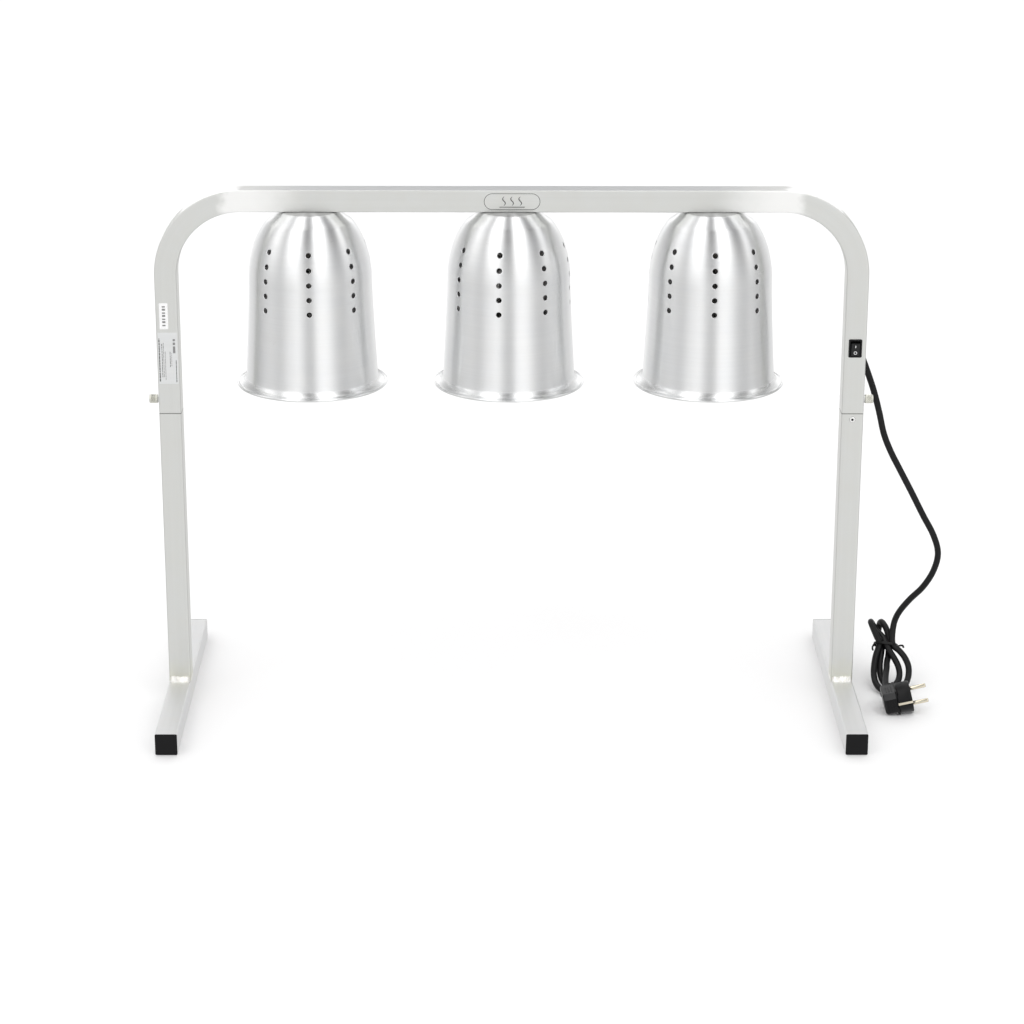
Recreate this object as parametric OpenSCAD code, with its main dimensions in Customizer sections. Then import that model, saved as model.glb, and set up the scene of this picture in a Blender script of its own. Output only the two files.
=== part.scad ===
// Three-lamp food warmer: a bent square-tube frame with three spun shades,
// standing on two welded feet. Millimetres. Z is up, the legs stand in the
// plane Y = 0 and the operator's side, the front, is -Y. The origin is on the
// table under the left leg, with +X along the beam towards the right leg. The
// modules draw about the middle of the beam, and place() moves them to the origin.

/* [Frame] */
// Overall width across the two legs
frame_w = 800; // [700:10:900]
// Overall height of the beam's top face, frame fully lowered
frame_h = 610; // [590:5:650]
// Outside size of the square tube
tube = 25; // [25:1:25]
// Wall thickness of the square tube
tube_wall = 1.2; // [1.0:0.1:1.2]
// Radius of the tube's long edges
tube_edge_r = 1.5; // [1.3:0.1:2.0]
// Outside radius of the two top bends
bend_r = 98; // [80:1:110]
// Height of the joint between upper and lower leg
seam_z = 352; // [345:1:356]

/* [Stands] */
// Length of each foot tube
foot_len = 360; // [300:10:400]
// How far the foot's middle sits behind the leg
foot_shift = 9; // [0:1:20]
// Thickness of the foot end caps
cap_t = 1; // [1:0.5:4]
// Outside size of the square sleeve joining the legs
sleeve = 22.2; // [22.0:0.1:22.2]
// Wall thickness of the sleeve
sleeve_wall = 1.5; // [1.2:0.1:2.0]
// Length of sleeve above the leg joint
sleeve_up = 60; // [50:1:60]
// Length of sleeve below the leg joint
sleeve_down = 50; // [40:1:70]
// Height of the sleeve rivet below the leg joint
rivet_drop = 7; // [6:1:12]

/* [Clamp screws] */
// Height of the clamp screws above the leg joint
screw_up = 14; // [12:1:16]
// Diameter of the screw head
screw_head_d = 10; // [9:0.5:12]
// Length of the screw head
screw_head_l = 9.5; // [8:0.5:12]
// Thread diameter of the clamp screw
screw_d = 6; // [5:1:6]

/* [Lamps] */
// Distance between neighbouring lamps
lamp_pitch = 224.5; // [210:0.5:240]
// Radius where the dome meets the beam
dome_flat_r = 28; // [26:1:32]
// Radius at the dome's shoulder
dome_r = 68.8; // [66:0.2:72]
// Depth of the dome below the beam
dome_h = 75; // [70:1:80]
// Radius at the foot of the bell's wall
bell_r = 74.4; // [73:0.2:78]
// Radius of the flared lip
lip_r = 9.5; // [7:0.5:10]
// Depth of the whole shade below the beam
shade_h = 197.8; // [190:0.2:205]
// Sheet thickness of the shade
shade_t = 1.2; // [1.0:0.1:1.5]
// Diameter of the vent holes
vent_d = 6; // [4:0.5:7]
// Vent hole columns round the shade
vent_cols = 8; // [6:1:10]
// Vent holes in each column
vent_rows = 5; // [3:1:5]
// Depth of the first vent hole below the beam
vent_top = 37; // [35:1:40]
// Distance between vent holes in a column
vent_pitch = 16.35; // [14:0.05:17]
// Overall length of the heat bulb
bulb_len = 175; // [170:1:178]
// Widest radius of the heat bulb
bulb_r = 62.5; // [60:0.5:63]

/* [Switch and cord] */
// Height of the switch's middle
switch_z = 429; // [428:1:432]
// Width of the switch bezel
switch_w = 15; // [15:0.5:16]
// Height of the switch bezel
switch_h = 21; // [21:0.5:22]
// Angle of the rocker either side of level
rocker_tilt = 10; // [8:1:10]
// Height of the cord's exit through the rear wall
cord_z = 452; // [450:1:455]
// Diameter of the power cord
cord_d = 7.5; // [6.5:0.1:7.5]
// Angle of the plug's pins above the table
plug_tilt = 13; // [13:1:13]

/* [Hidden] */
$fn = 48;

// Signs for a leg's side (X) and a foot's end (Y), and lamp numbers
left = -1;
right = 1;
front = -1;
rear = 1;
left_lamp = 0;
centre_lamp = 1;
right_lamp = 2;

// Frame
half_tube = tube/2;
bore = tube - 2*tube_wall;          // clear inside of the tube
leg_x = frame_w/2 - half_tube;
beam_z = frame_h - tube;            // underside of the beam
mid_z = frame_h - half_tube;        // centreline of the beam
bend_x = frame_w/2 - bend_r;        // centre of the bends
bend_z = frame_h - bend_r;
screw_z = seam_z + screw_up;
screw_hole_r = screw_d/2 + 0.05;
foot_rear_y = foot_shift + foot_len/2;
foot_front_y = foot_shift - foot_len/2;

// Lamps
hanger_shift = [-1.5, -3.3, -1.5];  // each hanger hole's offset from the even spacing
lamp_x = [for (i = [0:2]) (i - 1)*lamp_pitch + hanger_shift[i]];
lamp_turn = [2, -9.5, 0];           // angle each shade is clamped at
nipple_r = 5;
nipple_hole_r = nipple_r + 0.2;     // holes in beam and shade
nipple_fit_r = nipple_r + 0.05;     // bore of the nuts and the lampholder
beam_nut_h = 5;
shade_nut_h = 3;
holder_z = beam_z - shade_t - shade_nut_h;  // top of the lampholder
cap_tip = beam_z - 19;              // tip of the bulb's cap
cap_end = cap_tip - 27;             // where cap meets glass
bulb_z = cap_tip - bulb_len;        // lowest point of the bulb
glass_t = 0.9;
holder_end = cap_end + 0.6;         // bottom of the lampholder
shell_z = holder_end + 1.5;         // bottom of the screw shell
shell_h = 21.5;
thread_pitch = 3.63;
thread_turns = 5;

// Switch, wiring and cord
switch_body = [12.9, 14.4, 19.2];
tab_z = 4.5;                        // height of each tab above or below the switch's middle
grip_r = 5.9;                       // neck of the cord grip in the rear wall
cord_hole_r = cord_d/2 + 0.1;
wire_y = [-6, 0, 6];                // live, neutral, earth
block_size = [20, 18, 22];          // terminal block
block_z = 481;
terminal_rows = [-6, 6];            // heights of the terminal screws about block_z
plug_at = [465.2, -43, 18.6];       // middle of the plug's round face
plug_r = 18.4;
pin_gap = 19;
boot_x = -25.4;                     // cord boot's axis, from plug_at
boot_z = 3.2;

// ---------- places ----------

// From the middle of the beam to the foot of the left leg
module place() translate([leg_x, 0, 0]) children();

module at_lamp(lamp) translate([lamp_x[lamp], 0, 0]) children();

// Outer face of a leg at the clamp screw, +Z pointing outwards
module at_screw(side) translate([side*frame_w/2, 0, screw_z]) rotate([0, side*90, 0]) children();

module at_switch() translate([leg_x, -half_tube, switch_z]) children();

module at_plug() translate(plug_at) rotate([0, -plug_tilt, 0]) children();

// Root of a plug pin, +Z along the pin; end = 1 is the upper pin
module at_pin(end) translate([-9, 0, end*pin_gap/2]) rotate([0, 90, 0]) children();

// ---------- shared shapes ----------

// Square section with rounded corners, centred
module rounded_square(size, radius) {
  square([size - 2*radius, size], center = true);
  square([size, size - 2*radius], center = true);
  for (x = [-1, 1], y = [-1, 1])
    translate([x*(size/2 - radius), y*(size/2 - radius)]) circle(r = radius, $fn = 24);
}

// Straight-sided section with round ends, centred
module stadium(straight, radius) {
  square([straight, 2*radius], center = true);
  for (end = [-1, 1]) translate([end*straight/2, 0]) circle(r = radius);
}

// Tube wall section
module tube_section() difference() {
  rounded_square(tube, tube_edge_r);
  rounded_square(bore, tube_edge_r - 1.1);
}

// Straight upright tube
module upright(bottom, top) translate([0, 0, bottom]) linear_extrude(top - bottom) tube_section();

// Sweeps a section along the tube's centreline round a top bend
module bend(side) translate([side*bend_x, 0, bend_z])
  rotate([90, 0, 0]) mirror([side < 0 ? 1 : 0, 0, 0])
    rotate_extrude(angle = 90, $fn = 96) translate([bend_r - half_tube, 0]) children();

// Hexagonal nut with a clear bore for the nipple
module nut(across_flats, height) difference() {
  cylinder(h = height, r = across_flats/sqrt(3), $fn = 6);
  translate([0, 0, -1]) cylinder(h = height + 2, r = nipple_fit_r);
}

// ---------- curves and cords ----------

function unit(v) = v/norm(v);

// Direction of a line of points at point i, from its neighbours
function direction(line, i) = unit(line[min(i + 1, len(line) - 1)] - line[max(i - 1, 0)]);

// Catmull-Rom point between start and end, t from 0 to 1
function between(before, start, end, after, t) = 0.5*(2*start + (end - before)*t
  + (2*before - 5*start + 4*end - after)*t*t + (3*start - before - 3*end + after)*t*t*t);

// Smooth curve through a list of points, with steps between each pair
function curve(points, steps) = let (last = len(points) - 1) [
  for (i = [0:last - 1]) for (k = [0:steps - 1])
    between(points[max(i - 1, 0)], points[i], points[i + 1], points[min(i + 2, last)], k/steps),
  points[last]];

// Normals carried along a line's tangents with the least twist, from point i on
function normals(tangents, i, normal) = i == len(tangents) ? [] :
  let (next = unit(normal - (normal*tangents[i])*tangents[i]))
    concat([next], normals(tangents, i + 1, next));

// Round cord along a list of points
module cord(line, radius, sides = 12) {
  rings = len(line);
  along = [for (i = [0:rings - 1]) direction(line, i)];
  across = normals(along, 0,
    unit(cross(along[0], abs(along[0][2]) < 0.8 ? [0, 0, 1] : [1, 0, 0])));
  points = [for (i = [0:rings - 1]) for (k = [0:sides - 1]) let (angle = 360*k/sides)
    line[i] + radius*(cos(angle)*across[i] + sin(angle)*cross(along[i], across[i]))];
  faces = concat(
    [[for (k = [0:sides - 1]) k]],
    [for (i = [0:rings - 2]) for (k = [0:sides - 1]) let (j = (k + 1)%sides)
      [i*sides + k, (i + 1)*sides + k, (i + 1)*sides + j, i*sides + j]],
    [[for (k = [sides - 1:-1:0]) (rings - 1)*sides + k]]);
  polyhedron(points = points, faces = faces, convexity = 10);
}

// Open 2D outline moved sideways, to the left of its direction when distance is positive
function shifted(line, distance) = [for (i = [0:len(line) - 1])
  let (along = direction(line, i)) line[i] + distance*[-along[1], along[0]]];

// ---------- frame ----------

module upper_frame() color([0.80, 0.81, 0.80]) difference() {
  union() {
    for (side = [left, right]) {
      translate([side*leg_x, 0, 0]) upright(seam_z, bend_z);
      bend(side) tube_section();
    }
    translate([-bend_x, 0, mid_z]) rotate([0, 90, 0]) linear_extrude(2*bend_x) tube_section();
  }
  // openings for the lamp hangers
  for (x = lamp_x) translate([x, 0, beam_z - 1]) cylinder(h = 4, r = nipple_hole_r);
  // opening for the switch
  at_switch() cube([switch_body[0] + 0.1, 6, switch_body[2] + 0.1], center = true);
  // opening for the cord grip
  translate([leg_x, half_tube - 3, cord_z]) rotate([-90, 0, 0]) cylinder(h = 6, r = grip_r + 0.1);
  // openings for the clamp screws
  for (side = [left, right])
    at_screw(side) translate([0, 0, -3]) cylinder(h = 6, r = screw_hole_r);
}

// Threaded bosses welded on the outer faces
module clamp_bosses() color([0.75, 0.74, 0.72]) for (side = [left, right])
  at_screw(side) difference() {
    cylinder(h = 2, r = screw_head_d/2 - 0.6);
    translate([0, 0, -1]) cylinder(h = 4, r = screw_hole_r);
  }

module clamp_screw(side) color([0.72, 0.71, 0.68]) at_screw(side) difference() {
  union() {
    translate([0, 0, -tube_wall - 0.12]) cylinder(h = tube_wall + 3, r = screw_d/2);
    translate([0, 0, 2.1]) cylinder(h = screw_head_l, r = screw_head_d/2);
  }
  // grip grooves along the head
  for (angle = [0:30:359]) rotate([0, 0, angle]) translate([screw_head_d/2 + 0.45, 0, 3.2])
    cylinder(h = screw_head_l - 2.2, r = 0.8, $fn = 16);
}

// ---------- stands ----------

// The two stands are the same part turned round, so the left rivet is at the rear
module at_rivet(side) translate([side*leg_x, -side*half_tube, seam_z - rivet_drop]) children();

module rivet_hole(side) at_rivet(side) rotate([90, 0, 0])
  cylinder(h = 8, r = 2.05, center = true);

module lower_leg(side) color([0.79, 0.80, 0.79]) difference() {
  translate([side*leg_x, 0, 0]) upright(tube, seam_z);
  rivet_hole(side);
}

module foot(side) color([0.79, 0.80, 0.79]) translate([side*leg_x, foot_rear_y, half_tube])
  rotate([90, 0, 0]) linear_extrude(foot_len) tube_section();

// Section of a weld bead as [distance from the leg, height above the foot]
bead_section = [[0, 0], [5, 0], [3.9, 2.2], [2.2, 4.2], [0.8, 6.2], [0, 6.2]];
bead_inset = 1.6;

// Fillet beads in front of and behind the leg, ground bands at its sides
module weld(side) color([0.86, 0.83, 0.74]) translate([side*leg_x, 0, tube])
  for (end = [-1, 1]) {
    translate([-half_tube + bead_inset, end*half_tube, 0])
      rotate([90, 0, 90]) mirror([end < 0 ? 1 : 0, 0, 0])
        linear_extrude(tube - 2*bead_inset) polygon(bead_section);
    translate([end*(half_tube + 0.2), 0, 0]) cube([0.4, tube - 3, 6], center = true);
  }

module sleeve_tube(side) color([0.70, 0.71, 0.71]) difference() {
  translate([side*leg_x, 0, seam_z - sleeve_down])
    linear_extrude(sleeve_up + sleeve_down) difference() {
      square(sleeve, center = true);
      square(sleeve - 2*sleeve_wall, center = true);
    }
  rivet_hole(side);
}

// Blind rivet through leg and sleeve
module rivet(side) color([0.82, 0.82, 0.80]) at_rivet(side) rotate([side*90, 0, 0]) difference() {
  union() {
    cylinder(h = 0.9, r = 3.5);
    translate([0, 0, -4.2]) cylinder(h = 4.6, r = 2);
    translate([0, 0, -4.4]) cylinder(h = 1.4, r = 2.9);
  }
  translate([0, 0, -3]) cylinder(h = 6, r = 1.3);
}

// Pushed-in end cap: a plate the size of the tube and a hollow plug
module foot_cap(side, end) {
  plug_depth = 12;
  plug_size = bore - 0.9;
  plug_wall = 1.75;
  overlap = 0.05;
  color([0.06, 0.06, 0.07])
    translate([side*leg_x, end < 0 ? foot_front_y : foot_rear_y, half_tube])
      rotate([-end*90, 0, 0]) {
        linear_extrude(cap_t) rounded_square(tube, tube_edge_r);
        translate([0, 0, -plug_depth]) linear_extrude(plug_depth + overlap) difference() {
          square(plug_size, center = true);
          square(plug_size - 2*plug_wall, center = true);
        }
      }
}

// ---------- shades ----------

// Outside of the bell as [radius, depth below the beam], from the top to the lip
dome_power = 1.85;
wall_end = shade_h - lip_r - 0.4;
dome_line = [for (k = [0:16]) let (depth = 0.999*(1 - pow(1 - k/16, 1.6)))
  [dome_flat_r + (dome_r - dome_flat_r)*pow(1 - pow(1 - depth, dome_power), 1/dome_power),
   dome_h*depth]];
wall_line = [for (k = [1:7]) let (part = k/7)
  [dome_r + (bell_r - dome_r)*pow(part, 1.3), dome_h + (wall_end - dome_h)*part]];
lip_line = [for (angle = [15:15:90])
  [bell_r + lip_r*(1 - cos(angle)), wall_end + lip_r*sin(angle)*0.9]];
bell_line = concat([[dome_flat_r*0.5, 0]], dome_line, wall_line, lip_line);
lip_end = bell_line[len(bell_line) - 1];

// From [radius, depth below the beam] to [radius, height]
function to_height(point) = [point[0], beam_z - point[1]];

module shade(lamp) {
  inner_line = shifted(bell_line, shade_t);
  color([0.86, 0.87, 0.87]) at_lamp(lamp) difference() {
    union() {
      rotate_extrude($fn = 96) polygon(concat(
        [[nipple_hole_r, beam_z]],
        [for (point = bell_line) to_height(point)],
        [for (k = [len(inner_line) - 1:-1:0]) to_height(inner_line[k])],
        [[nipple_hole_r, beam_z - shade_t]]));
      // rolled edge of the lip
      translate([0, 0, beam_z - lip_end[1] - 0.6]) rotate_extrude($fn = 96)
        translate([lip_end[0] - 0.1, 0]) circle(r = 1.5, $fn = 24);
    }
    for (col = [0:vent_cols - 1], row = [0:vent_rows - 1])
      translate([0, 0, beam_z - vent_top - row*vent_pitch])
        rotate([90, 0, lamp_turn[lamp] + 360*col/vent_cols])
          translate([0, 0, 40]) cylinder(h = 50, r = vent_d/2, $fn = 24);
  }
}

module beam_nuts() color([0.75, 0.75, 0.73]) for (x = lamp_x)
  translate([x, 0, beam_z + tube_wall]) nut(14, beam_nut_h);

// Hollow threaded tubes from inside the beam down into the lampholders
module hanger_nipples() {
  bottom = holder_z - 6;
  top = beam_z + tube_wall + beam_nut_h + 1;
  color([0.78, 0.72, 0.50]) for (x = lamp_x) translate([x, 0, bottom]) difference() {
    cylinder(h = top - bottom, r = nipple_r);
    translate([0, 0, -1]) cylinder(h = 40, r = 3.7);
  }
}

module shade_nuts() color([0.75, 0.75, 0.73]) for (x = lamp_x)
  translate([x, 0, holder_z]) nut(16, shade_nut_h);

// ---------- lampholders ----------

// Section of the lampholder as [radius, height]: down the outside, up the inside
holder_section = [
  [nipple_fit_r, holder_z], [10, holder_z], [11, holder_z - 1], [11, holder_z - 6],
  [18.5, holder_z - 8], [21, holder_z - 11], [21, holder_end + 8], [22.5, holder_end + 7],
  [22.5, holder_end + 1], [21.5, holder_end], [14.8, holder_end], [14.8, cap_tip + 1.5],
  [4.2, cap_tip + 1.5], [4.2, holder_z - 7], [nipple_fit_r, holder_z - 7]];

module lampholder(lamp) color([0.93, 0.92, 0.88]) at_lamp(lamp) difference() {
  rotate_extrude($fn = 64) polygon(holder_section);
  // fixing screw recesses in the base
  for (angle = [0, 180]) rotate([0, 0, angle]) translate([15.5, 0, holder_z - 12])
    cylinder(h = 8, r = 1.8, $fn = 16);
}

// Wavy outline of the coarse round thread as [radius, height], going up
function thread_wave(radius) = [for (k = [0:thread_turns*4])
  [radius + 0.5*(k%4 < 2 ? -1 : 1), shell_z + 1.5 + thread_pitch*(k/4 + (k%2)*0.06)]];

module screw_shell(lamp) color([0.80, 0.78, 0.70]) at_lamp(lamp)
  rotate_extrude($fn = 64) polygon(concat(
    [[14.6, shell_z], [13.7, shell_z]],
    thread_wave(13.3),
    [[13.7, shell_z + shell_h], [14.6, shell_z + shell_h]]));

module centre_contacts() color([0.80, 0.62, 0.25]) for (x = lamp_x)
  translate([x, 0, cap_tip + 0.1]) cylinder(h = 1.4, r = 4);

// ---------- bulbs ----------

module bulb_cap(lamp) color([0.72, 0.70, 0.62]) at_lamp(lamp)
  rotate_extrude($fn = 64) polygon(concat(
    [[11.5, cap_end], [12.7, cap_end], [12.7, cap_end + 1.8]],
    thread_wave(12.7),
    [[11.8, cap_end + 23], [6, cap_tip - 1.2], [4.6, cap_tip - 0.8], [4.2, cap_tip],
     [0, cap_tip], [0, cap_tip - 2], [3.5, cap_tip - 3], [11.0, cap_end + 21.6],
     [11.5, cap_end + 20]]));

// Outside of the glass as [radius, height], from the cap down
glass_line = curve([
  [13.4, cap_end], [17.6, cap_end - 9], [19.2, cap_end - 22], [24, cap_end - 42],
  [36, cap_end - 66], [50, cap_end - 88], [59.5, cap_end - 106], [bulb_r, bulb_z + 24],
  [bulb_r - 1.6, bulb_z + 13], [bulb_r - 11, bulb_z + 4.6], [bulb_r - 30, bulb_z + 1],
  [0.01, bulb_z]], 3);

module bulb_glass(lamp) {
  inner_line = shifted(glass_line, -glass_t);
  last = len(glass_line) - 2;       // the axis points stand in for the end of the line
  color([0.85, 0.25, 0.18, 0.55]) at_lamp(lamp) {
    rotate_extrude($fn = 64) polygon(concat(
      [[0, bulb_z]],
      [for (k = [last:-1:0]) glass_line[k]],
      [[0, cap_end], [0, cap_end - 1.2]],
      [for (k = [1:last]) inner_line[k]],
      [[0, bulb_z + glass_t]]));
    // stem that carries the filament
    translate([0, 0, cap_end - 40]) cylinder(h = 39.5, r = 4.5);
  }
}

// Filament ring with two supports reaching in to the stem
module filament(lamp) {
  ring_r = 14;
  color([0.55, 0.53, 0.50]) translate([lamp_x[lamp], 0, cap_end - 62]) {
    rotate_extrude($fn = 64) translate([ring_r, 0]) circle(r = 0.9, $fn = 16);
    for (angle = [45, 225]) rotate([0, 0, angle]) {
      translate([ring_r, 0, 0]) cylinder(h = 26, r = 0.6, $fn = 16);
      translate([4.6, 0, 25.4]) rotate([0, 90, 0])
        cylinder(h = ring_r - 4.6, r = 0.5, $fn = 16);
    }
  }
}

// ---------- switch ----------

// Rocker's pivot, or its hole, across the switch
module pivot(length, radius) rotate([0, 90, 0])
  cylinder(h = length, r = radius, center = true, $fn = 24);

pivot_y = 1;

module switch_housing() color([0.05, 0.05, 0.06]) at_switch() difference() {
  union() {
    translate([0, -0.8, 0]) cube([switch_w, 1.6, switch_h], center = true);
    translate([0, switch_body[1]/2, 0]) cube(switch_body, center = true);
  }
  translate([0, 2.4, 0]) cube([10, 8.4, 16.6], center = true);
  translate([0, pivot_y, 0]) pivot(11.6, 1.05);
}

// Rocker with a shallow V front and two trunnions
module switch_rocker() {
  rocker_w = 9.4;
  color([0.08, 0.08, 0.09]) at_switch()
    translate([0, pivot_y, 0]) rotate([rocker_tilt, 0, 0]) {
      translate([-rocker_w/2, 0, 0]) rotate([90, 0, 90]) linear_extrude(rocker_w)
        polygon([[-5.2, 7.4], [-3.8, 0], [-5.2, -7.4], [2, -6.2], [3.8, 0], [2, 6.2]]);
      pivot(11.2, 1);
    }
}

module switch_tabs() color([0.80, 0.66, 0.35]) at_switch() for (side = [left, right])
  translate([side*4, 17.9, side*tab_z]) cube([4.8, 7, 0.8], center = true);

// Leads from the switch tabs up past the cord to just below the terminal block
module switch_leads() {
  lead_top = block_z - block_size[2]/2 - 0.1;
  color([0.35, 0.20, 0.12]) for (side = [left, right]) {
    lead_z = switch_z + side*tab_z;
    translate([leg_x + side*8, 6.5, 0]) {
      translate([0, 0, lead_z - 1]) cylinder(h = lead_top - lead_z + 1, r = 1, $fn = 24);
      translate([side < 0 ? -0.2 : -1.5, 0, lead_z]) rotate([0, 90, 0])
        cylinder(h = 1.7, r = 0.8, $fn = 24);
    }
  }
}

module terminal_block() color([0.92, 0.91, 0.86]) translate([leg_x, 0, block_z]) difference() {
  cube(block_size, center = true);
  for (y = wire_y) {
    translate([0, y, 0]) cylinder(h = 30, r = 1.6, center = true, $fn = 24);
    for (z = terminal_rows)
      translate([-11, y, z]) rotate([0, 90, 0]) cylinder(h = 10, r = 1.9, $fn = 24);
  }
}

// Slotted clamp screws of the terminal block
module terminal_screws() color([0.80, 0.72, 0.45]) for (y = wire_y, z = terminal_rows)
  translate([leg_x - 9.5, y, block_z + z]) rotate([0, 90, 0]) difference() {
    cylinder(h = 7.7, r = 1.8, $fn = 24);
    translate([-3, -0.3, -1]) cube([6, 0.6, 1.8]);
  }

// ---------- wiring ----------

// One conductor: core from the cord, then leg, bend, beam and a drop into each lampholder
module conductor(y) {
  wire_r = 0.9;
  core_z = cord_z + 4.5;
  beam_start = lamp_x[0] - 2;
  drop_y = y*0.37;                  // the drops close up to pass through the nipple
  drop_z = cap_tip + 4;
  translate([leg_x, y, core_z]) cylinder(h = block_z - 1 - core_z, r = wire_r, $fn = 24);
  translate([leg_x, y, block_z + 1]) cylinder(h = bend_z - block_z - 1, r = wire_r, $fn = 24);
  translate([0, y, 0]) bend(right) circle(r = wire_r, $fn = 24);
  translate([beam_start, y, mid_z]) rotate([0, 90, 0])
    cylinder(h = bend_x - beam_start, r = wire_r, $fn = 24);
  for (x = lamp_x) {
    if (y != 0) translate([x, min(y, drop_y), mid_z]) rotate([-90, 0, 0])
      cylinder(h = abs(y - drop_y), r = 0.8, $fn = 24);
    translate([x, drop_y, drop_z]) cylinder(h = mid_z - drop_z, r = 0.7, $fn = 24);
  }
}
module live_wire() color([0.42, 0.24, 0.13]) conductor(wire_y[0]);
module neutral_wire() color([0.12, 0.28, 0.62]) conductor(wire_y[1]);
module earth_wire() color([0.45, 0.62, 0.16]) conductor(wire_y[2]);

// ---------- cord and plug ----------

module cord_grip() color([0.05, 0.05, 0.05])
  translate([leg_x, half_tube, cord_z]) rotate([-90, 0, 0]) difference() {
    union() {
      translate([0, 0, -3]) cylinder(h = 4, r = grip_r);
      cylinder(h = 3, r = 8);
      translate([0, 0, 2]) cylinder(h = 12, r1 = 6.4, r2 = 5.2);
    }
    translate([0, 0, -5]) cylinder(h = 24, r = cord_hole_r);
  }

// Where the upper and lower cord meet, and the cord's direction there
cord_split = [453, 50, 266];
split_dir = unit([27.5, 6, -52]);

// The cord hangs free behind the leg and swings out to the side: [x, y, z]
upper_run = curve([
  [leg_x, 6, cord_z], [leg_x, 18, cord_z], [leg_x, 27, cord_z], [leg_x, 32, cord_z],
  [leg_x + 2, 41, 446], [392.5, 46, 431], [400, 45, 411], [409, 43, 388], [418, 43, 363],
  [425.5, 44, 337], [432, 45, 311], [441, 47, 289],
  cord_split - 4*split_dir, cord_split - 0.05*split_dir], 5);
module power_cord_upper() color([0.07, 0.07, 0.07]) cord(upper_run, cord_d/2);

// Where the strands pass through the tie, each row from left to right: [x, y, z]
tie_front = [[440.2, 58.8, 43.7], [448, 58.8, 43.7], [455.8, 58.8, 43.7]];
tie_rear = [[444, 63.2, 38.3], [452, 63.2, 38.3]];

// The slack, down through the tie, round the tied loops and on to the plug: [x, y, z]
lower_run = curve([
  cord_split + 0.05*split_dir, cord_split + 4*split_dir,
  // swing down to the tie
  [468.5, 53, 237], [484, 56, 207], [498, 59, 181], [505, 62, 157], [501, 66, 133],
  [490, 69, 112], [476, 73, 95], [464, 76, 77], [458.2, 74, 61.5], tie_front[2],
  // wide loop: down on the right, under, up on the left
  [463, 51, 38], [469.5, 44, 31], [473, 36, 22], [471, 25, 12.5], [464, 13, 6],
  [452, 6, 4.2], [440, 8, 4.2], [433, 19, 8], [431.5, 34, 16], [434.5, 48, 30], tie_front[0],
  // upper left loop
  [437.8, 66.5, 49.6], [434.8, 75, 56], [432.6, 82.4, 60.9], [433, 88.6, 60.6],
  [435.8, 90.6, 55.6], [439.2, 86.5, 50.8], [443, 78.5, 48.6], [446.2, 69.5, 47], tie_front[1],
  // inner loop
  [451.5, 51.5, 37.5], [457, 45, 30], [461, 38.5, 22.5], [461.8, 31, 15.5], [459, 23, 10],
  [452.5, 17, 6.5], [444.5, 20, 6.8], [440, 32, 12], [440, 46, 22], tie_rear[0],
  // upper right loop
  [443.2, 76, 40.2], [442.6, 87.5, 43.6], [443.6, 95.2, 48.6], [444.8, 97.4, 54.2],
  [445.9, 93.4, 58.6], [448, 87, 58.2], [450.8, 79.5, 54.4], [452.6, 71.8, 47.2], tie_rear[1],
  // lead to the plug
  [450.8, 54.5, 30.2], [448, 44, 25.5], [446.3, 32, 23.2], [444, 20, 21.5],
  [441.5, 4, 18.5], [440.5, -9.5, 16]], 3);
module power_cord_lower() color([0.07, 0.07, 0.07]) cord(lower_run, cord_d/2, 8);

// Wire tie wrapped round the bundle, with its twisted ends
module cord_tie() color([0.04, 0.04, 0.04]) {
  translate([448, 61, 41.2]) rotate([-38, 8, 0]) difference() {
    linear_extrude(3, center = true) stadium(11.6, 8.9);
    linear_extrude(5, center = true) stadium(11.6, 8.1);
  }
  // right end, then left end
  cord(curve([[462.2, 61, 39.2], [465.6, 60, 41], [468, 58, 41.6], [468.6, 55.5, 40.2]], 4),
    1.2, 8);
  cord(curve([[436.8, 56.3, 46.3], [433.4, 55.6, 44.2], [431.4, 54.2, 41], [431.8, 52.4, 38]], 4),
    1.1, 8);
}

// Angled moulded plug: round face to +X, cord entry to +Y
module plug_body() color([0.06, 0.06, 0.07]) difference() {
  plug_moulding();
  // flat side the plug lies on
  translate([420, -80, -20]) cube([80, 80, 20.2]);
}

module plug_moulding() at_plug() difference() {
  union() {
    rotate([0, -90, 0]) cylinder(h = 17.5, r = plug_r, $fn = 64);
    translate([-33, -17, -11.2]) cube([16, 32, 26.5]);
    translate([-19, -16, -14]) cube([3, 31, 30]);
    // cord boot
    translate([boot_x, 14, boot_z]) rotate([-90, 0, 0]) {
      cylinder(h = 10, r1 = 8.5, r2 = 6.6);
      translate([0, 0, 9]) cylinder(h = 10, r1 = 6.2, r2 = 5);
    }
    // ribbed finger pad
    for (k = [0:4]) translate([-31.2 + k*3, -17.6, -6]) cube([1.5, 1.2, 17]);
  }
  for (end = [-1, 1]) {
    // pin socket
    at_pin(end) cylinder(h = 12, r = 1.9, $fn = 32);
    // groove for the earth strip
    translate([-8.4, end*18.1, 0]) cube([17.4, 2.4, 5], center = true);
  }
  // earth pin aperture in the face
  translate([-15, -7.5, 0]) rotate([0, 90, 0]) cylinder(h = 16, r = 2.6, $fn = 32);
  // cord entry
  translate([boot_x, 22, boot_z]) rotate([-90, 0, 0]) cylinder(h = 13, r = cord_hole_r, $fn = 32);
}

module plug_pins() color([0.86, 0.80, 0.62]) at_plug() for (end = [-1, 1]) at_pin(end) {
  cylinder(h = 10, r = 1.9, $fn = 32);
  translate([0, 0, 10]) cylinder(h = 17, r = 2.4, $fn = 32);
  translate([0, 0, 27]) cylinder(h = 1, r1 = 2.4, r2 = 1.6, $fn = 32);
}

module plug_earth_strips() color([0.85, 0.70, 0.35]) at_plug() for (end = [-1, 1])
  translate([-8.4, end*17.7, 0]) cube([17, 0.9, 4.4], center = true);

// ---------- labels ----------

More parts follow.
